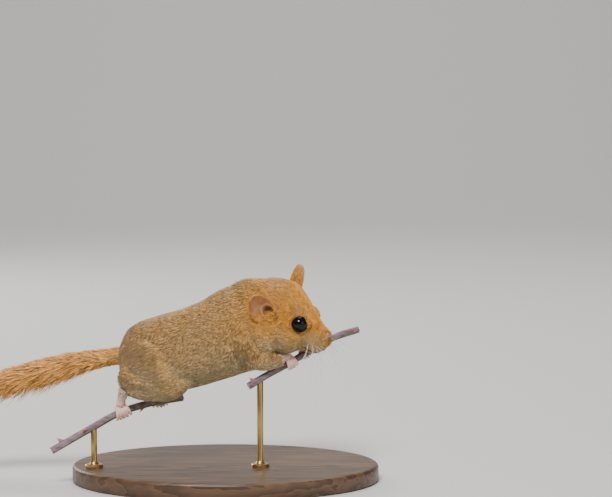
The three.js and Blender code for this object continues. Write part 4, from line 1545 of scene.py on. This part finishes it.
@dataclass
class Ear:
    """A thin rounded cup with a rolled rim, a fold across it and a deep opening in front, darkened with
    painted shade.
    """

    side: Side
    root: tuple[float, float, float]
    lean: float
    spread: float
    opens: tuple[float, float, float]
    length: float = 12.2
    half_width: float = 4.1
    cup: float = 1.8
    thickness: float = 0.55
    rows: int = 56
    columns: int = 46  # across each face
    grid: Array = field(init=False)
    outward: Array = field(init=False)

    def build(self, material: Material) -> Piece:
        """Rings from root to tip; each has an inner and an outer face, bent into a cup.

        The half width is a leaf curve and the bend grows with the square of the place across. On the
        inner face a fold follows the ellipse ((w - 0.45) / 0.62)^2 + ((v - 0.27) / 0.3)^2 = 1, and
        the opening lies inside it.

        Args:
            material: the skin's finish.

        Returns:
            The piece.
        """
        s = self.side.value
        root = np.array([self.root[0], s * self.root[1], self.root[2]])
        point = unit(np.array([self.lean, s * self.spread, 1.0]))
        facing = np.array([self.opens[0], s * self.opens[1], self.opens[2]])
        facing = square_to(facing, point)
        wide = np.cross(point, facing)
        v = np.linspace(0, 1, self.rows)[:, None]
        leaf = np.sqrt(np.maximum(1 - ((v - 0.49) / 0.51) ** 2, 0))
        half = self.half_width * np.maximum(leaf, 0.82 + (0.06 - 0.82) * v)
        across = np.cos(np.pi * np.arange(self.columns) / (self.columns - 1))
        w = np.concatenate([across, -across])[None]
        ahead = -w * s
        inner = np.concatenate([np.ones(self.columns), -np.ones(self.columns)])[None]
        thick = self.thickness * (1.5 - 0.8 * v)
        bend = self.cup * (w**2 - 0.3) * half / self.half_width + 1.5 * v**3
        ring = np.sqrt(((ahead - 0.45) / 0.62) ** 2 + ((v - 0.27) / 0.3) ** 2)
        fold = (np.exp(-(((ring - 1.0) / 0.2) ** 2)) * smooth_step(0.99, 0.8, np.abs(w))
                * smooth_step(0.02, 0.2, v))
        hollow = smooth_step(0.95, 0.3, ring)
        roll = 0.4 * smooth_step(0.8, 1.0, np.abs(w)) * smooth_step(0.1, 0.4, v)
        skin = inner * thick * np.sqrt(np.maximum(1 - w**2, 0.03)) / 2
        relief = (0.7 * fold - 0.25 * hollow) * (inner > 0)
        rise = (v - 0.14) * self.length * np.ones_like(w)
        grid = (root + point * rise[..., None] + wide * (w * half)[..., None]
                + facing * (bend + roll + skin + relief)[..., None])
        name = self.side.name.lower()
        piece = make_object(f"ear_{name}_cup", tube(from_head(grid)), material)
        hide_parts(f"ear_{name}")
        flesh = (inner > 0) * smooth_step(0.98, 0.85, np.abs(w))
        # The inner face is paler flesh; the fold is lighter still, a painted highlight on its ridge
        deep = np.clip(1 - flesh * (0.35 + 0.65 * fold), 0, 1)
        # Painted shade: the ear's opening is coloured dark where shade falls into it
        dark = (inner > 0) * smooth_step(0.9, 0.45, ring) * 0.96
        marks = np.stack([deep, dark, 0 * dark], -1).reshape(-1, 3)
        set_marks(piece, "marks", np.concatenate([marks, [[1, 0, 0], [1, 0, 0]]]))
        self.grid, self.outward = from_head(grid), unit(HEAD_MATRIX @ facing)
        return piece

    def sampled(self, i: Array, j: Array, rng: np.random.Generator) -> tuple[Array, Array, Array]:
        """Points of the cup's surface with the way towards the tip and the outward direction there.

        Args:
            i: places from root to tip, in rows.
            j: places round each ring, in columns; those below `columns` are on the inner face.
            rng: source of a slight disorder.

        Returns:
            Roots, directions of lie and normals.
        """
        i0, j0 = i.astype(int), j.astype(int)
        fi, fj = (i - i0)[:, None], (j - j0)[:, None]
        corner = [self.grid[i0 + a, j0 + b] for a, b in ((0, 0), (1, 0), (0, 1), (1, 1))]
        here = corner[0] * (1 - fi) + corner[1] * fi
        beside = corner[2] * (1 - fi) + corner[3] * fi
        root = here * (1 - fj) + beside * fj
        lie = unit(unit(corner[1] - corner[0]) + 0.16 * rng.normal(size=root.shape))
        normal = unit(np.cross(corner[2] - corner[0], lie))
        inner = np.where(j < self.columns - 1, 1.0, -1.0)
        return root, lie, normal * (inner * np.sign(normal @ self.outward))[:, None]

    def down(self, rng: np.random.Generator, material: Material) -> Piece:
        """Short hair: dense outside and on the rims, thin inside, and longer at the opening's front.

        Args:
            rng: source of places and lengths.
            material: the hair's finish.

        Returns:
            The piece.
        """
        last = 2 * self.columns - 1.01
        top = self.rows - 4
        groups = []
        # Number of hairs, columns from and to, rows, length and width
        for count, low, high, reach, size, width in (
            (3400, self.columns - 1.0, last, top, 1.0, 0.15),
            (520, 1.0, self.columns - 2.0, top, 0.8, 0.07),
            (420, 0.5, 5.0, top, 0.9, 0.12),
            (420, self.columns - 6.0, self.columns - 1.5, top, 0.9, 0.12),
            (380, 0.5, self.columns - 1.5, 0.2 * top, 1.9, 0.16),
        ):
            i = reach * rng.random(count) ** 1.1
            j = rng.uniform(low, high, count)
            groups.append(np.stack([i, j, size * rng.uniform(0.7, 1.3, count), np.full(count, width)], -1))
        i, j, size, width = np.concatenate(groups).T
        root, lie, normal = self.sampled(i, j, rng)
        size = size * (1.3 - 0.6 * i / self.rows)
        count = len(size)
        marks = np.tile([0.1, 0.8, 0.1, 1.0], (count, 1))
        low = np.array([0.62, 0.0]) if self.side is Side.LEFT else np.array([0.7, 0.0])
        chart = low + 0.005 * np.stack([i / self.rows, j / self.columns], -1)
        grown = tufts(
            root, normal, lie, size, size * 0.2, width, np.zeros_like(root), EAR_TUFT, marks,
            0.3 + 0.6 * rng.random(count), 0.2 + 0.5 * rng.random(count), chart)
        return hair_piece(f"ear_{self.side.name.lower()}_down", grown, material)


@dataclass
class Muzzle:
    """Nose pad with nostrils, lips and whiskers."""

    seed: int = 7
    columns: int = 4
    rows: int = 3
    whisker_radius: float = 0.06
    clearance: float = 0.45  # between a whisker and the front stem

    def nose(self, material: Material) -> Piece:
        """The nose pad: an ellipsoid, pinched in the middle, with two pits for nostrils.

        Args:
            material: the pad's finish.

        Returns:
            The piece.
        """
        shell = ball([0, 0, 0], [1, 1, 1], 30)
        way = unit(shell.points)
        groove = 0.16 * np.exp(-((way[:, 1] / 0.14) ** 2)) * (way[:, 2] < 0.4)
        nostrils = [unit(np.array([0.78, side * 0.55, -0.12])) for side in (1, -1)]
        pit = sum(np.exp(-(((way - nostril) ** 2).sum(1) / 0.035)) for nostril in nostrils)
        points = way * (1 - groove - 0.42 * pit)[:, None] * [1.0, 1.4, 1.1] + NOSE_PLACE
        piece = make_object("nose_pad", Shell(from_head(points), shell.faces), material)
        # Painted shade: the middle groove takes the deeper colour and the nostril pits go dark
        set_marks(piece, "marks", np.stack([0.4 + groove * 3, np.clip(pit * 1.1, 0, 1), groove * 0], -1))
        return piece

    def lips(self, material: Material) -> Piece:
        """Two soft cords that meet along the line of the mouth, thinner towards its corners.

        Args:
            material: the lips' finish.

        Returns:
            The piece.
        """
        k = np.linspace(-1, 1, 61)
        up = np.array([0, 0, 1.0])
        forward = 10.3 - 6.2 * np.abs(k) ** 1.8
        lateral = 4.6 * signed_power(k, 0.8)
        shells = []
        for rise, radius in ((0.27, 0.36), (-0.3, 0.32)):
            level = -MOUTH_DEPTH - MOUTH_DROP * np.abs(k) + rise
            rows = np.stack([forward, lateral, level], -1)
            thin = radius * np.sqrt(np.maximum(1 - k**6, 0.02))
            turn = turns(10)
            out = unit(grid_of(np.full(len(k), 0.7), np.clip(lateral, -1, 1), np.zeros(len(k))))
            ring = (rows[:, None] + out[:, None] * (np.cos(turn)[:, None] * thin[:, None, None])
                    + up * (np.sin(turn)[:, None] * thin[:, None, None]))
            shells.append(tube(from_head(ring)))
        piece = make_object("lips", Shell.joined(shells), material)
        set_marks(piece, "marks", np.tile([0.35, 0.0, 0.0], (len(piece.data.vertices), 1)))
        return piece

    def whiskers(self, material: Material) -> Piece:
        """Long white hairs that fan from the pads, forwards to backwards and mostly down.

        Each starts on the pad's ellipsoid and is a thin tube whose centre is
        start + way * l * t + sag * l * t^2, four-sided, tapering as 1 - t. Short ones stand over the
        eyes, and two thin ones on each side point up.

        Args:
            material: the hairs' finish.

        Returns:
            The piece.
        """
        rng = np.random.default_rng(self.seed)
        shells = []
        t = np.linspace(0, 1, 14)[:, None]
        for side in Side:
            s = side.value
            for k in range(self.columns * self.rows):
                column, row = k // self.rows, k % self.rows
                ahead, drop = 2.6 - 1.35 * column + 0.25 * row, -0.1 - 1.0 * row
                out = math.sqrt(1 - (ahead / 4.6) ** 2 - (drop / 4.1) ** 2) * 3.4
                start = from_head(np.array([6.9 + ahead, s * (2.75 + out), -3.7 + drop]))
                angle = math.radians(-24 - 26 * column - 7 * row + rng.normal(0, 4))
                way = unit(np.array([math.cos(angle), s * rng.uniform(0.35, 0.75), math.sin(angle)]))
                length = rng.uniform(17, 26) * (1 - 0.25 * (column == 0))
                sag = np.array([0, s * 0.04, -0.16])
                way = self.clear_way(start, way, length, sag, s)
                shells.append(self.hair(start, way, length, t, sag, self.whisker_radius))
            for k in range(2):
                start = from_head(np.array([9.0 - 1.2 * k, s * 4.9, -2.4]))
                way = unit(np.array([0.75 - 0.35 * k, s * 0.4, 0.42 + 0.4 * k]))
                shells.append(self.hair(start, way, 13.0 + 2 * k, t, np.array([0.05, 0, 0.05]), 0.05))
            for k in range(3):
                start = from_head(EYE_PLACE * [1, s, 1] + np.array([-1.2 + 0.9 * k, s * -0.4, 3.3]))
                way = unit(HEAD_MATRIX @ np.array([-0.3 + 0.25 * k, s * 0.5, 0.8]))
                shells.append(self.hair(start, way, 6.5 + k, t, np.array([-0.15, 0, 0.0]), 0.035))
        return make_object("whiskers", Shell.joined(shells), material)

    def clear_way(self, start: Array, way: Array, length: float, sag: Array, side: int) -> Array:
        """Turns a whisker outwards in small steps until its whole length clears the front stem.

        Args:
            start: where it grows.
            way: the direction in which it would leave.
            length: its length.
            sag: how it curves.
            side: 1 on the animal's left and -1 on its right.

        Returns:
            The unit direction that clears the stem.
        """
        t = np.linspace(0, 1, 60)[:, None]
        for _ in range(40):
            path = start + way * length * t + sag * length * t**2
            if off_stem(path, FRONT_STEM).min() > STEM_RADIUS + self.clearance:
                break
            way = unit(way + np.array([0, side * 0.08, 0]))
        return way

    @staticmethod
    def hair(start: Array, way: Array, length: float, t: Array, sag: Array, radius: float) -> Shell:
        """One tapered curved hair.

        Args:
            start: where it grows.
            way: the direction in which it leaves.
            length: its length.
            t: shares along it, as a column.
            sag: how it curves.
            radius: its radius at the root.

        Returns:
            The closed surface.
        """
        centre = start + way * length * t + sag * length * t**2
        along = unit(np.gradient(centre, axis=0))
        side = unit(np.cross(along, [0.1, 1.0, 0.2]))
        up = np.cross(along, side)
        turn = turns(4)
        thin = radius * (1.04 - t)[:, :, None]
        return tube(centre[:, None] + side[:, None] * np.cos(turn)[:, None] * thin
                    + up[:, None] * np.sin(turn)[:, None] * thin)


@dataclass
class Foot:
    """A foot that grips a stem: an instep, then toes that curl round the stem, each with a claw."""

    node: str
    rows: Array
    u: float
    ankle: tuple[float, float, float]
    ankle_radius: float
    side: Side
    toes: int
    spread: float
    start: float
    end: float
    palm: float
    chart: tuple[float, float]
    hairs: int = 650
    toe_radius: float = 0.55
    voxel: float = 0.15
    smoothing: int = 2
    clearance: float = 0.4  # between the down and the stem

    def around(self, degrees: Array, away: Array, shift: Array) -> Array:
        """Points round the stem: centre + (outward cos a + up sin a) * away + along * shift.

        Args:
            degrees: angles up from the animal's outer side.
            away: distances from the stem's middle.
            shift: how far along the stem.

        Returns:
            One point for each angle.
        """
        centre, along, _, _ = path_axes(self.rows, np.array([self.u]))
        centre, along = centre[0], along[0]
        outward = square_to(np.array([0.0, self.side.value, 0]), along)
        up = np.cross(along, outward)
        up = up if up[2] > 0 else -up
        turn = np.radians(degrees)[..., None]
        return (centre + outward * np.cos(turn) * away[..., None] + up * np.sin(turn) * away[..., None]
                + along * shift[..., None])

    def build(self, skin: Material, horn: Material, hair: Material) -> list[Piece]:
        """Fuses the instep and toes into one skin and adds the claws and the down.

        Args:
            skin: the foot's finish.
            horn: the claws' finish.
            hair: the down's finish.

        Returns:
            The foot, its claws and its down.
        """
        distance = STEM_RADIUS + GAP + self.toe_radius
        ankle = np.array(self.ankle) - [0, 0, DATUM]
        tip = self.around(np.array([self.start]), np.array([distance + self.palm * 0.55]), np.zeros(1))[0]
        middle = ankle + (tip - ankle) * 0.55
        instep = np.array([
            [*ankle, self.ankle_radius * 0.86],
            [*middle, self.ankle_radius * 0.35 + self.palm * 0.45],
            [*tip, self.palm * 0.86],
        ])
        back = ankle + (ankle - middle) * 0.25
        shells = [limb(np.vstack([[*back, self.ankle_radius * 0.85], instep]), 16, 20)]
        claws = []
        share = np.linspace(0, 1, 9)
        for place in np.linspace(-1, 1, self.toes):
            length = 1 - 0.18 * abs(place)
            angle = self.start + (self.end - self.start) * length * share
            first = self.around(np.array([self.start]), np.array([distance]),
                                np.array([place * self.spread * 0.3]))
            bone = np.array([ankle + (tip - ankle) * 0.3]) + (first - tip) * 0.5
            knuckle = (0.1 * np.exp(-(((share - 0.42) / 0.12) ** 2))
                       + 0.12 * np.exp(-(((share - 0.95) / 0.1) ** 2)))
            away = distance + np.where(share == 0, self.palm * 0.4, 0.5 * knuckle)
            centre = self.around(angle, away, place * self.spread * (0.55 + 0.45 * share))
            radius = self.toe_radius * (1.12 - 0.26 * share + knuckle * 1.1)
            rows = np.vstack([np.append(bone[0], 0.6), np.column_stack([centre, radius])])
            shells.append(limb(rows, 26, 14))
            bend = np.linspace(-6, 20, 5) * np.sign(self.end - self.start)
            path = self.around(angle[-1] + bend, distance + np.linspace(0.12, 0.22, 5),
                               np.full(5, place * self.spread))
            claws.append(limb(np.column_stack([path, np.linspace(0.33, 0.05, 5)]), 8, 8))
        fused = remeshed(self.node, shells, self.voxel, self.smoothing)
        foot = make_object(f"{self.node}_skin", fused, skin)
        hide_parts(self.node)
        down = smooth_step(0.0, 4.5, np.linalg.norm(fused.points - ankle, axis=1))
        set_marks(foot, "marks", np.stack([0.75 - 0.6 * down, 0 * down, 0 * down], -1))
        nails = make_object(f"{self.node}_claws", Shell.joined(claws), horn)
        return [foot, nails, self.down(fused, ankle, tip, hair)]

    def down(self, skin: Shell, ankle: Array, tip: Array, material: Material) -> Piece:
        """Short pale hair on the ankle and the instep, thinning out towards the toes.

        Args:
            skin: the foot's surface.
            ankle: where the leg ends.
            tip: where the toes begin.
            material: the hair's finish.

        Returns:
            The piece.
        """
        rng = np.random.default_rng(int(abs(ankle[0]) * 10))
        normals = point_normals(skin.points, halved(skin.faces[0]))
        way = unit(tip - ankle)
        reach = float((tip - ankle) @ way)
        share = ((skin.points - ankle) @ way) / reach
        weight = np.cumsum(smooth_step(0.9, 0.0, share))
        pick = np.searchsorted(weight, rng.random(self.hairs) * weight[-1])
        root, normal, share = skin.points[pick], normals[pick], np.clip(share[pick], 0, 1)
        lie = unit(laid(way + 0.25 * rng.normal(size=root.shape), normal))
        size = (1.3 - 0.7 * share) * rng.uniform(0.7, 1.2, self.hairs)
        nearest = np.minimum(off_stem(root + lie * size[:, None], self.rows),
                             off_stem(root + lie * size[:, None] / 2, self.rows))
        clear = nearest > STEM_RADIUS + self.clearance
        root, normal, share, lie, size = (values[clear] for values in (root, normal, share, lie, size))
        chart = np.array(self.chart) + 0.01 * np.stack([share, rng.random(len(root))], -1)
        plain = np.zeros(len(root))
        shell, _, _, chart = tufts(
            root, normal, lie, size, size * 0.1, 0.1 + 0.05 * (1 - share), np.zeros_like(root),
            FOOT_TUFT, plain[:, None], plain, plain, chart)
        piece = make_object(f"{self.node}_down", shell, material)
        set_chart(piece, chart)
        return piece


@dataclass
class Stem:
    """A cut piece of bramble: a five-ribbed tube with prickles, and pith at its cut ends."""

    node: str
    rows: Array
    prickles: tuple[tuple[float, float], ...]
    rib: float = 0.07
    prickle_length: float = 2.6
    prickle_radius: float = 0.75
    sides: int = 40

    def build(self, material: Material) -> Piece:
        """Tube radius is r (0.97 + rib cos(5a + 3u) + 0.03 sin 23u); prickles hook back from a broad foot.

        Args:
            material: the bark's finish.

        Returns:
            The piece.
        """
        u = np.linspace(0, 1, 150)
        centre, _, side, up = (axis[:, None] for axis in path_axes(self.rows, u))
        angle = turns(self.sides)
        radius = STEM_RADIUS * (0.97 + self.rib * np.cos(5 * angle + 3 * u[:, None])
                                + 0.03 * np.sin(23 * u)[:, None])
        grid = centre + side * (np.cos(angle) * radius)[..., None] + up * (np.sin(angle) * radius)[..., None]
        caps = [(grid[k] - centre[k]) * 0.82 + centre[k] for k in (0, -1)]
        grid = np.concatenate([caps[0][None], grid, caps[1][None]])
        shell = tube(grid)
        marks = np.zeros((len(shell.points), 3))
        on_rings = len(grid) * self.sides
        marks[:on_rings, 0] = np.tile(smooth_step(0.1, -0.7, np.sin(angle)), len(grid))
        for pith in (slice(0, self.sides), slice(on_rings - self.sides, None)):
            marks[pith, 2] = 1
        shells, all_marks = [shell], [marks]
        for place, degrees in self.prickles:
            thorn, share = self.prickle(place, math.radians(degrees))
            shells.append(thorn)
            all_marks.append(np.stack([0 * share, np.maximum(share, 0.001), 0 * share], -1))
        piece = make_object(f"{self.node}_bark", Shell.joined(shells), material)
        set_marks(piece, "marks", np.concatenate(all_marks))
        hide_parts(self.node)
        return piece

    def prickle(self, place: float, angle: float) -> tuple[Shell, Array]:
        """A thorn whose rings shrink as (1 - t)^1.3 and slide back along the stem as t^2.

        Args:
            place: share of the stem's length.
            angle: angle round the stem, from its side.

        Returns:
            The thorn, and the share of its height at each point.
        """
        t = np.linspace(0, 1, 14)[:, None]
        centre, along, side, up = (axis[0] for axis in path_axes(self.rows, np.array([place])))
        out = side * math.cos(angle) + up * math.sin(angle)
        across = np.cross(along, out)
        middle = (centre + out * (STEM_RADIUS * 0.7 + t * self.prickle_length)
                  - along * t**2 * self.prickle_length * 0.5)
        size = self.prickle_radius * np.maximum((1 - t) ** 1.3, 0.03)
        turn = turns(12)
        rings = (middle[:, None] + along * (np.cos(turn) * size * 1.7)[..., None]
                 + across * (np.sin(turn) * size * 0.8)[..., None])
        share = np.concatenate([np.repeat(t[:, 0], len(turn)), [0, 1]])
        return tube(rings), share


@dataclass
class Stand:
    """An oval wooden base with a soft edge, and two rods that rise from collars to the stems."""

    length: float = 108.0
    depth: float = 74.0
    height: float = 6.0
    bevel: float = 1.4
    rod_radius: float = 1.1
    collar_radius: float = 3.2
    collar_height: float = 2.2

    def base(self, material: Material) -> Piece:
        """Rings of an ellipse from the rim's foot over a quarter-round edge to the middle of the top.

        Args:
            material: the wood's finish.

        Returns:
            The piece.
        """
        edge = np.linspace(0, np.pi / 2, 7)
        inset = np.concatenate([[0.6, 0.0], self.bevel * (1 - np.cos(edge)), [self.bevel + 2, 20.0, 34.0]])
        level = np.concatenate([[0.0, 0.5], self.height - self.bevel * (1 - np.sin(edge)), [self.height] * 3])
        angle = turns(160)
        reach = np.stack([self.length / 2 - inset, self.depth / 2 - inset], -1)
        grid = grid_of(reach[:, :1] * np.cos(angle), reach[:, 1:] * np.sin(angle), level[:, None])
        piece = make_object("base_wood", tube(grid), material)
        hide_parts("stand_base")
        return piece

    def rod(self, node: str, rows: Array, place: float, material: Material) -> Piece:
        """A round rod with a stepped collar, up to just under the stem.

        Args:
            node: the solid that it stands for.
            rows: the stem that it carries.
            place: share of the stem's length where it meets it.
            material: its metal.

        Returns:
            The piece.
        """
        centre = path_axes(rows, np.array([place]))[0][0]
        foot, top = self.height, centre[2] - STEM_RADIUS * 0.6
        r, c = self.rod_radius, self.collar_radius
        profile = np.array([
            [0.4, foot], [c, foot], [c, foot + 0.9], [c - 0.3, foot + 1.2], [r + 0.7, foot + 1.25],
            [r + 0.25, foot + self.collar_height - 0.4], [r, foot + self.collar_height],
            [r, (foot + top) / 2], [r, top - 0.3], [r * 0.8, top], [0.2, top],
        ])
        angle = turns(40)
        grid = grid_of(centre[0] + profile[:, :1] * np.cos(angle),
                       centre[1] + profile[:, :1] * np.sin(angle), profile[:, 1:])
        piece = make_object(f"{node}_brass", tube(grid), material)
        edges = piece.modifiers.new("edges", "EDGE_SPLIT")
        edges.split_angle = math.radians(40)
        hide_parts(node)
        return piece


@dataclass
class Studio:
    """Plain pale floor that curves up behind, soft lights and the camera."""

    distance: float = 0.7
    elevation: float = 5.0
    target: tuple[float, float, float] = (0.02835, 0.0, 0.082)
    width: float = 0.2142
    sensor: float = 36.0  # in millimetres

    def stage(self) -> Piece:
        """Floor and wall as one sheet: flat, then a quarter circle, then upright.

        Returns:
            The floor.
        """
        bend = np.linspace(0, np.pi / 2, 16)
        y = np.concatenate([[-3.0, 1.2], 1.2 + 0.8 * np.sin(bend), [2.0]])
        z = np.concatenate([[0, 0], 0.8 * (1 - np.cos(bend)), [3.5]])
        x = np.array([-4.0, 4.0])
        grid = grid_of(x, y[:, None], z[:, None]).reshape(-1, 3)
        rows = np.arange(len(y) - 1)[:, None] * 2
        quads = rows + np.array([[0, 1, 3, 2]])
        mesh = bpy.data.meshes.new("floor")
        mesh.from_pydata(grid.tolist(), [], quads.tolist())
        mesh.polygons.foreach_set("use_smooth", [True] * len(mesh.polygons))
        mesh.materials.append(PlainFinish("pale floor", rgb(0.66, 0.65, 0.62), 0.9).build())
        floor = placed("floor", mesh)
        return floor

    @staticmethod
    def aim(item: Piece, place: Sequence[float], target: Sequence[float]) -> None:
        """Puts an object at a place and turns its -Z towards a target."""
        item.location = place
        item.rotation_euler = (Vector(target) - Vector(place)).to_track_quat("-Z", "Y").to_euler()

    def lights(self) -> None:
        """A key above and left of the camera, a fill, top, rim and wall lights and a weak world."""
        # Name, place, size and power in watts
        for name, place, size, power in (
            ("key", (-0.15, -0.7, 0.85), 0.3, 12.0),
            ("fill", (0.8, -0.7, 0.3), 0.8, 1.8),
            ("top", (0.05, 0.35, 0.95), 0.6, 5.0),
            ("rim", (-0.5, 0.6, 0.35), 0.4, 2.5),
            ("wall", (0.0, 0.9, 1.6), 1.2, 16.0),
        ):
            lamp = bpy.data.lights.new(name, "AREA")
            lamp.size = size
            lamp.energy = power
            self.aim(placed(name, lamp), place, (0.0, 2.0, 0.7) if name == "wall" else (0.0, 0.0, 0.05))
        world = bpy.data.worlds.new("room")
        world.use_nodes = True
        color, strength = world.node_tree.nodes["Background"].inputs[:2]
        color.default_value = rgb(0.9, 0.93, 1.0)
        strength.default_value = 0.16
        bpy.context.scene.world = world

    def camera(self) -> None:
        """Camera at the photograph's viewing angle, with a lens that shows `width` at the target."""
        data = bpy.data.cameras.new("camera")
        data.sensor_fit = "HORIZONTAL"
        data.sensor_width = self.sensor
        data.lens = self.sensor * self.distance / self.width
        data.clip_end = 20
        data.clip_start = 0.01
        item = placed("camera", data)
        tilt = math.radians(self.elevation)
        x, y, z = self.target
        place = (x, y - self.distance * math.cos(tilt), z + self.distance * math.sin(tilt))
        self.aim(item, place, self.target)
        bpy.context.scene.camera = item


def main() -> None:
    """Builds every sub-assembly in order and reports its pieces."""
    logging.basicConfig(level=logging.INFO, format="%(message)s")
    studio = Studio()
    studio.camera()
    studio.lights()
    studio.stage()
    body = Body()
    skin = body.build()
    work = body.coatwork()
    set_marks(skin, "marks", work.marks)
    set_chart(skin, work.chart)
    pieces = [skin, *Coat(body, work).build(), TailHair().build()]
    gloss = PlainFinish("eye gloss", rgb(0.004, 0.0035, 0.003), 0.05, specular=0.3).build()
    rim = PlainFinish("lid rim", rgb(0.022, 0.013, 0.009), 0.65, specular=0.2).build()
    horn = PlainFinish("claw horn", rgb(0.62, 0.46, 0.36), 0.35).build()
    pink = SkinFinish("bare pink skin", rgb(0.88, 0.58, 0.49), rgb(0.7, 0.4, 0.28)).build()
    nose_skin = SkinFinish("nose skin", rgb(0.46, 0.2, 0.13), rgb(0.3, 0.12, 0.08)).build()
    ear_skin = SkinFinish("ear skin", rgb(0.64, 0.29, 0.145), rgb(0.46, 0.185, 0.05)).build()
    for side in Side:
        pieces += Eye(side).build(gloss, rim)
    rng = np.random.default_rng(5)
    down = HairFinish("ear down").build()
    for ear in (
        Ear(Side.RIGHT, (-10.0, 10.9, 2.0), -0.69, 0.5, (0.42, 0.9, -0.1)),
        Ear(Side.LEFT, (-8.4, 9.4, 6.4), -0.14, 0.22, (0.8, 0.6, -0.1)),
    ):
        pieces += [ear.build(ear_skin), ear.down(rng, down)]
    muzzle = Muzzle()
    pale_down = PlainFinish("foot down", rgb(0.86, 0.66, 0.5), 0.6).build()
    white = PlainFinish("whisker white", rgb(0.85, 0.82, 0.76), 0.4).build()
    pieces += [muzzle.nose(nose_skin), muzzle.lips(nose_skin), muzzle.whiskers(white)]
    for foot in (
        Foot("hind_foot_right", REAR_STEM, 0.505, (-35.0, -8.2, 39.0), 2.0, Side.RIGHT,
             5, 2.7, 62, -95, 1.75, (0.81, 0.24)),
        Foot("hind_foot_left", REAR_STEM, 0.8, (-30.0, 6.6, 38.2), 2.0, Side.LEFT,
             5, 2.6, 70, -85, 1.5, (0.81, 0.49)),
        Foot("fore_foot_right", FRONT_STEM, 0.4, (19.3, -6.0, 49.5), 1.75, Side.RIGHT,
             4, 1.9, 66, -75, 1.4, (0.81, 0.74)),
        Foot("fore_foot_left", FRONT_STEM, 0.565, (24.9, 6.9, 53.2), 1.65, Side.LEFT,
             4, 1.9, 78, -60, 1.3, (0.81, 0.97)),
    ):
        pieces += foot.build(pink, horn, pale_down)
    bark = BarkFinish().build()
    pieces += [
        Stem("perch_rear", REAR_STEM, ((0.1, 60), (0.24, 150), (0.66, -60), (0.93, 10))).build(bark),
        Stem("perch_front", FRONT_STEM, ((0.07, 110), (0.68, -40), (0.78, 70), (0.93, 150))).build(bark),
    ]
    stand = Stand()
    brass = PlainFinish("satin brass", rgb(0.55, 0.36, 0.14), 0.32, metallic=1.0).build()
    pieces += [
        stand.base(WoodFinish().build()),
        stand.rod("stand_rod_rear", REAR_STEM, 0.3, brass),
        stand.rod("stand_rod_front", FRONT_STEM, 0.13, brass),
    ]
    for piece in pieces:
        report(piece)


if __name__ == "__main__":
    main()
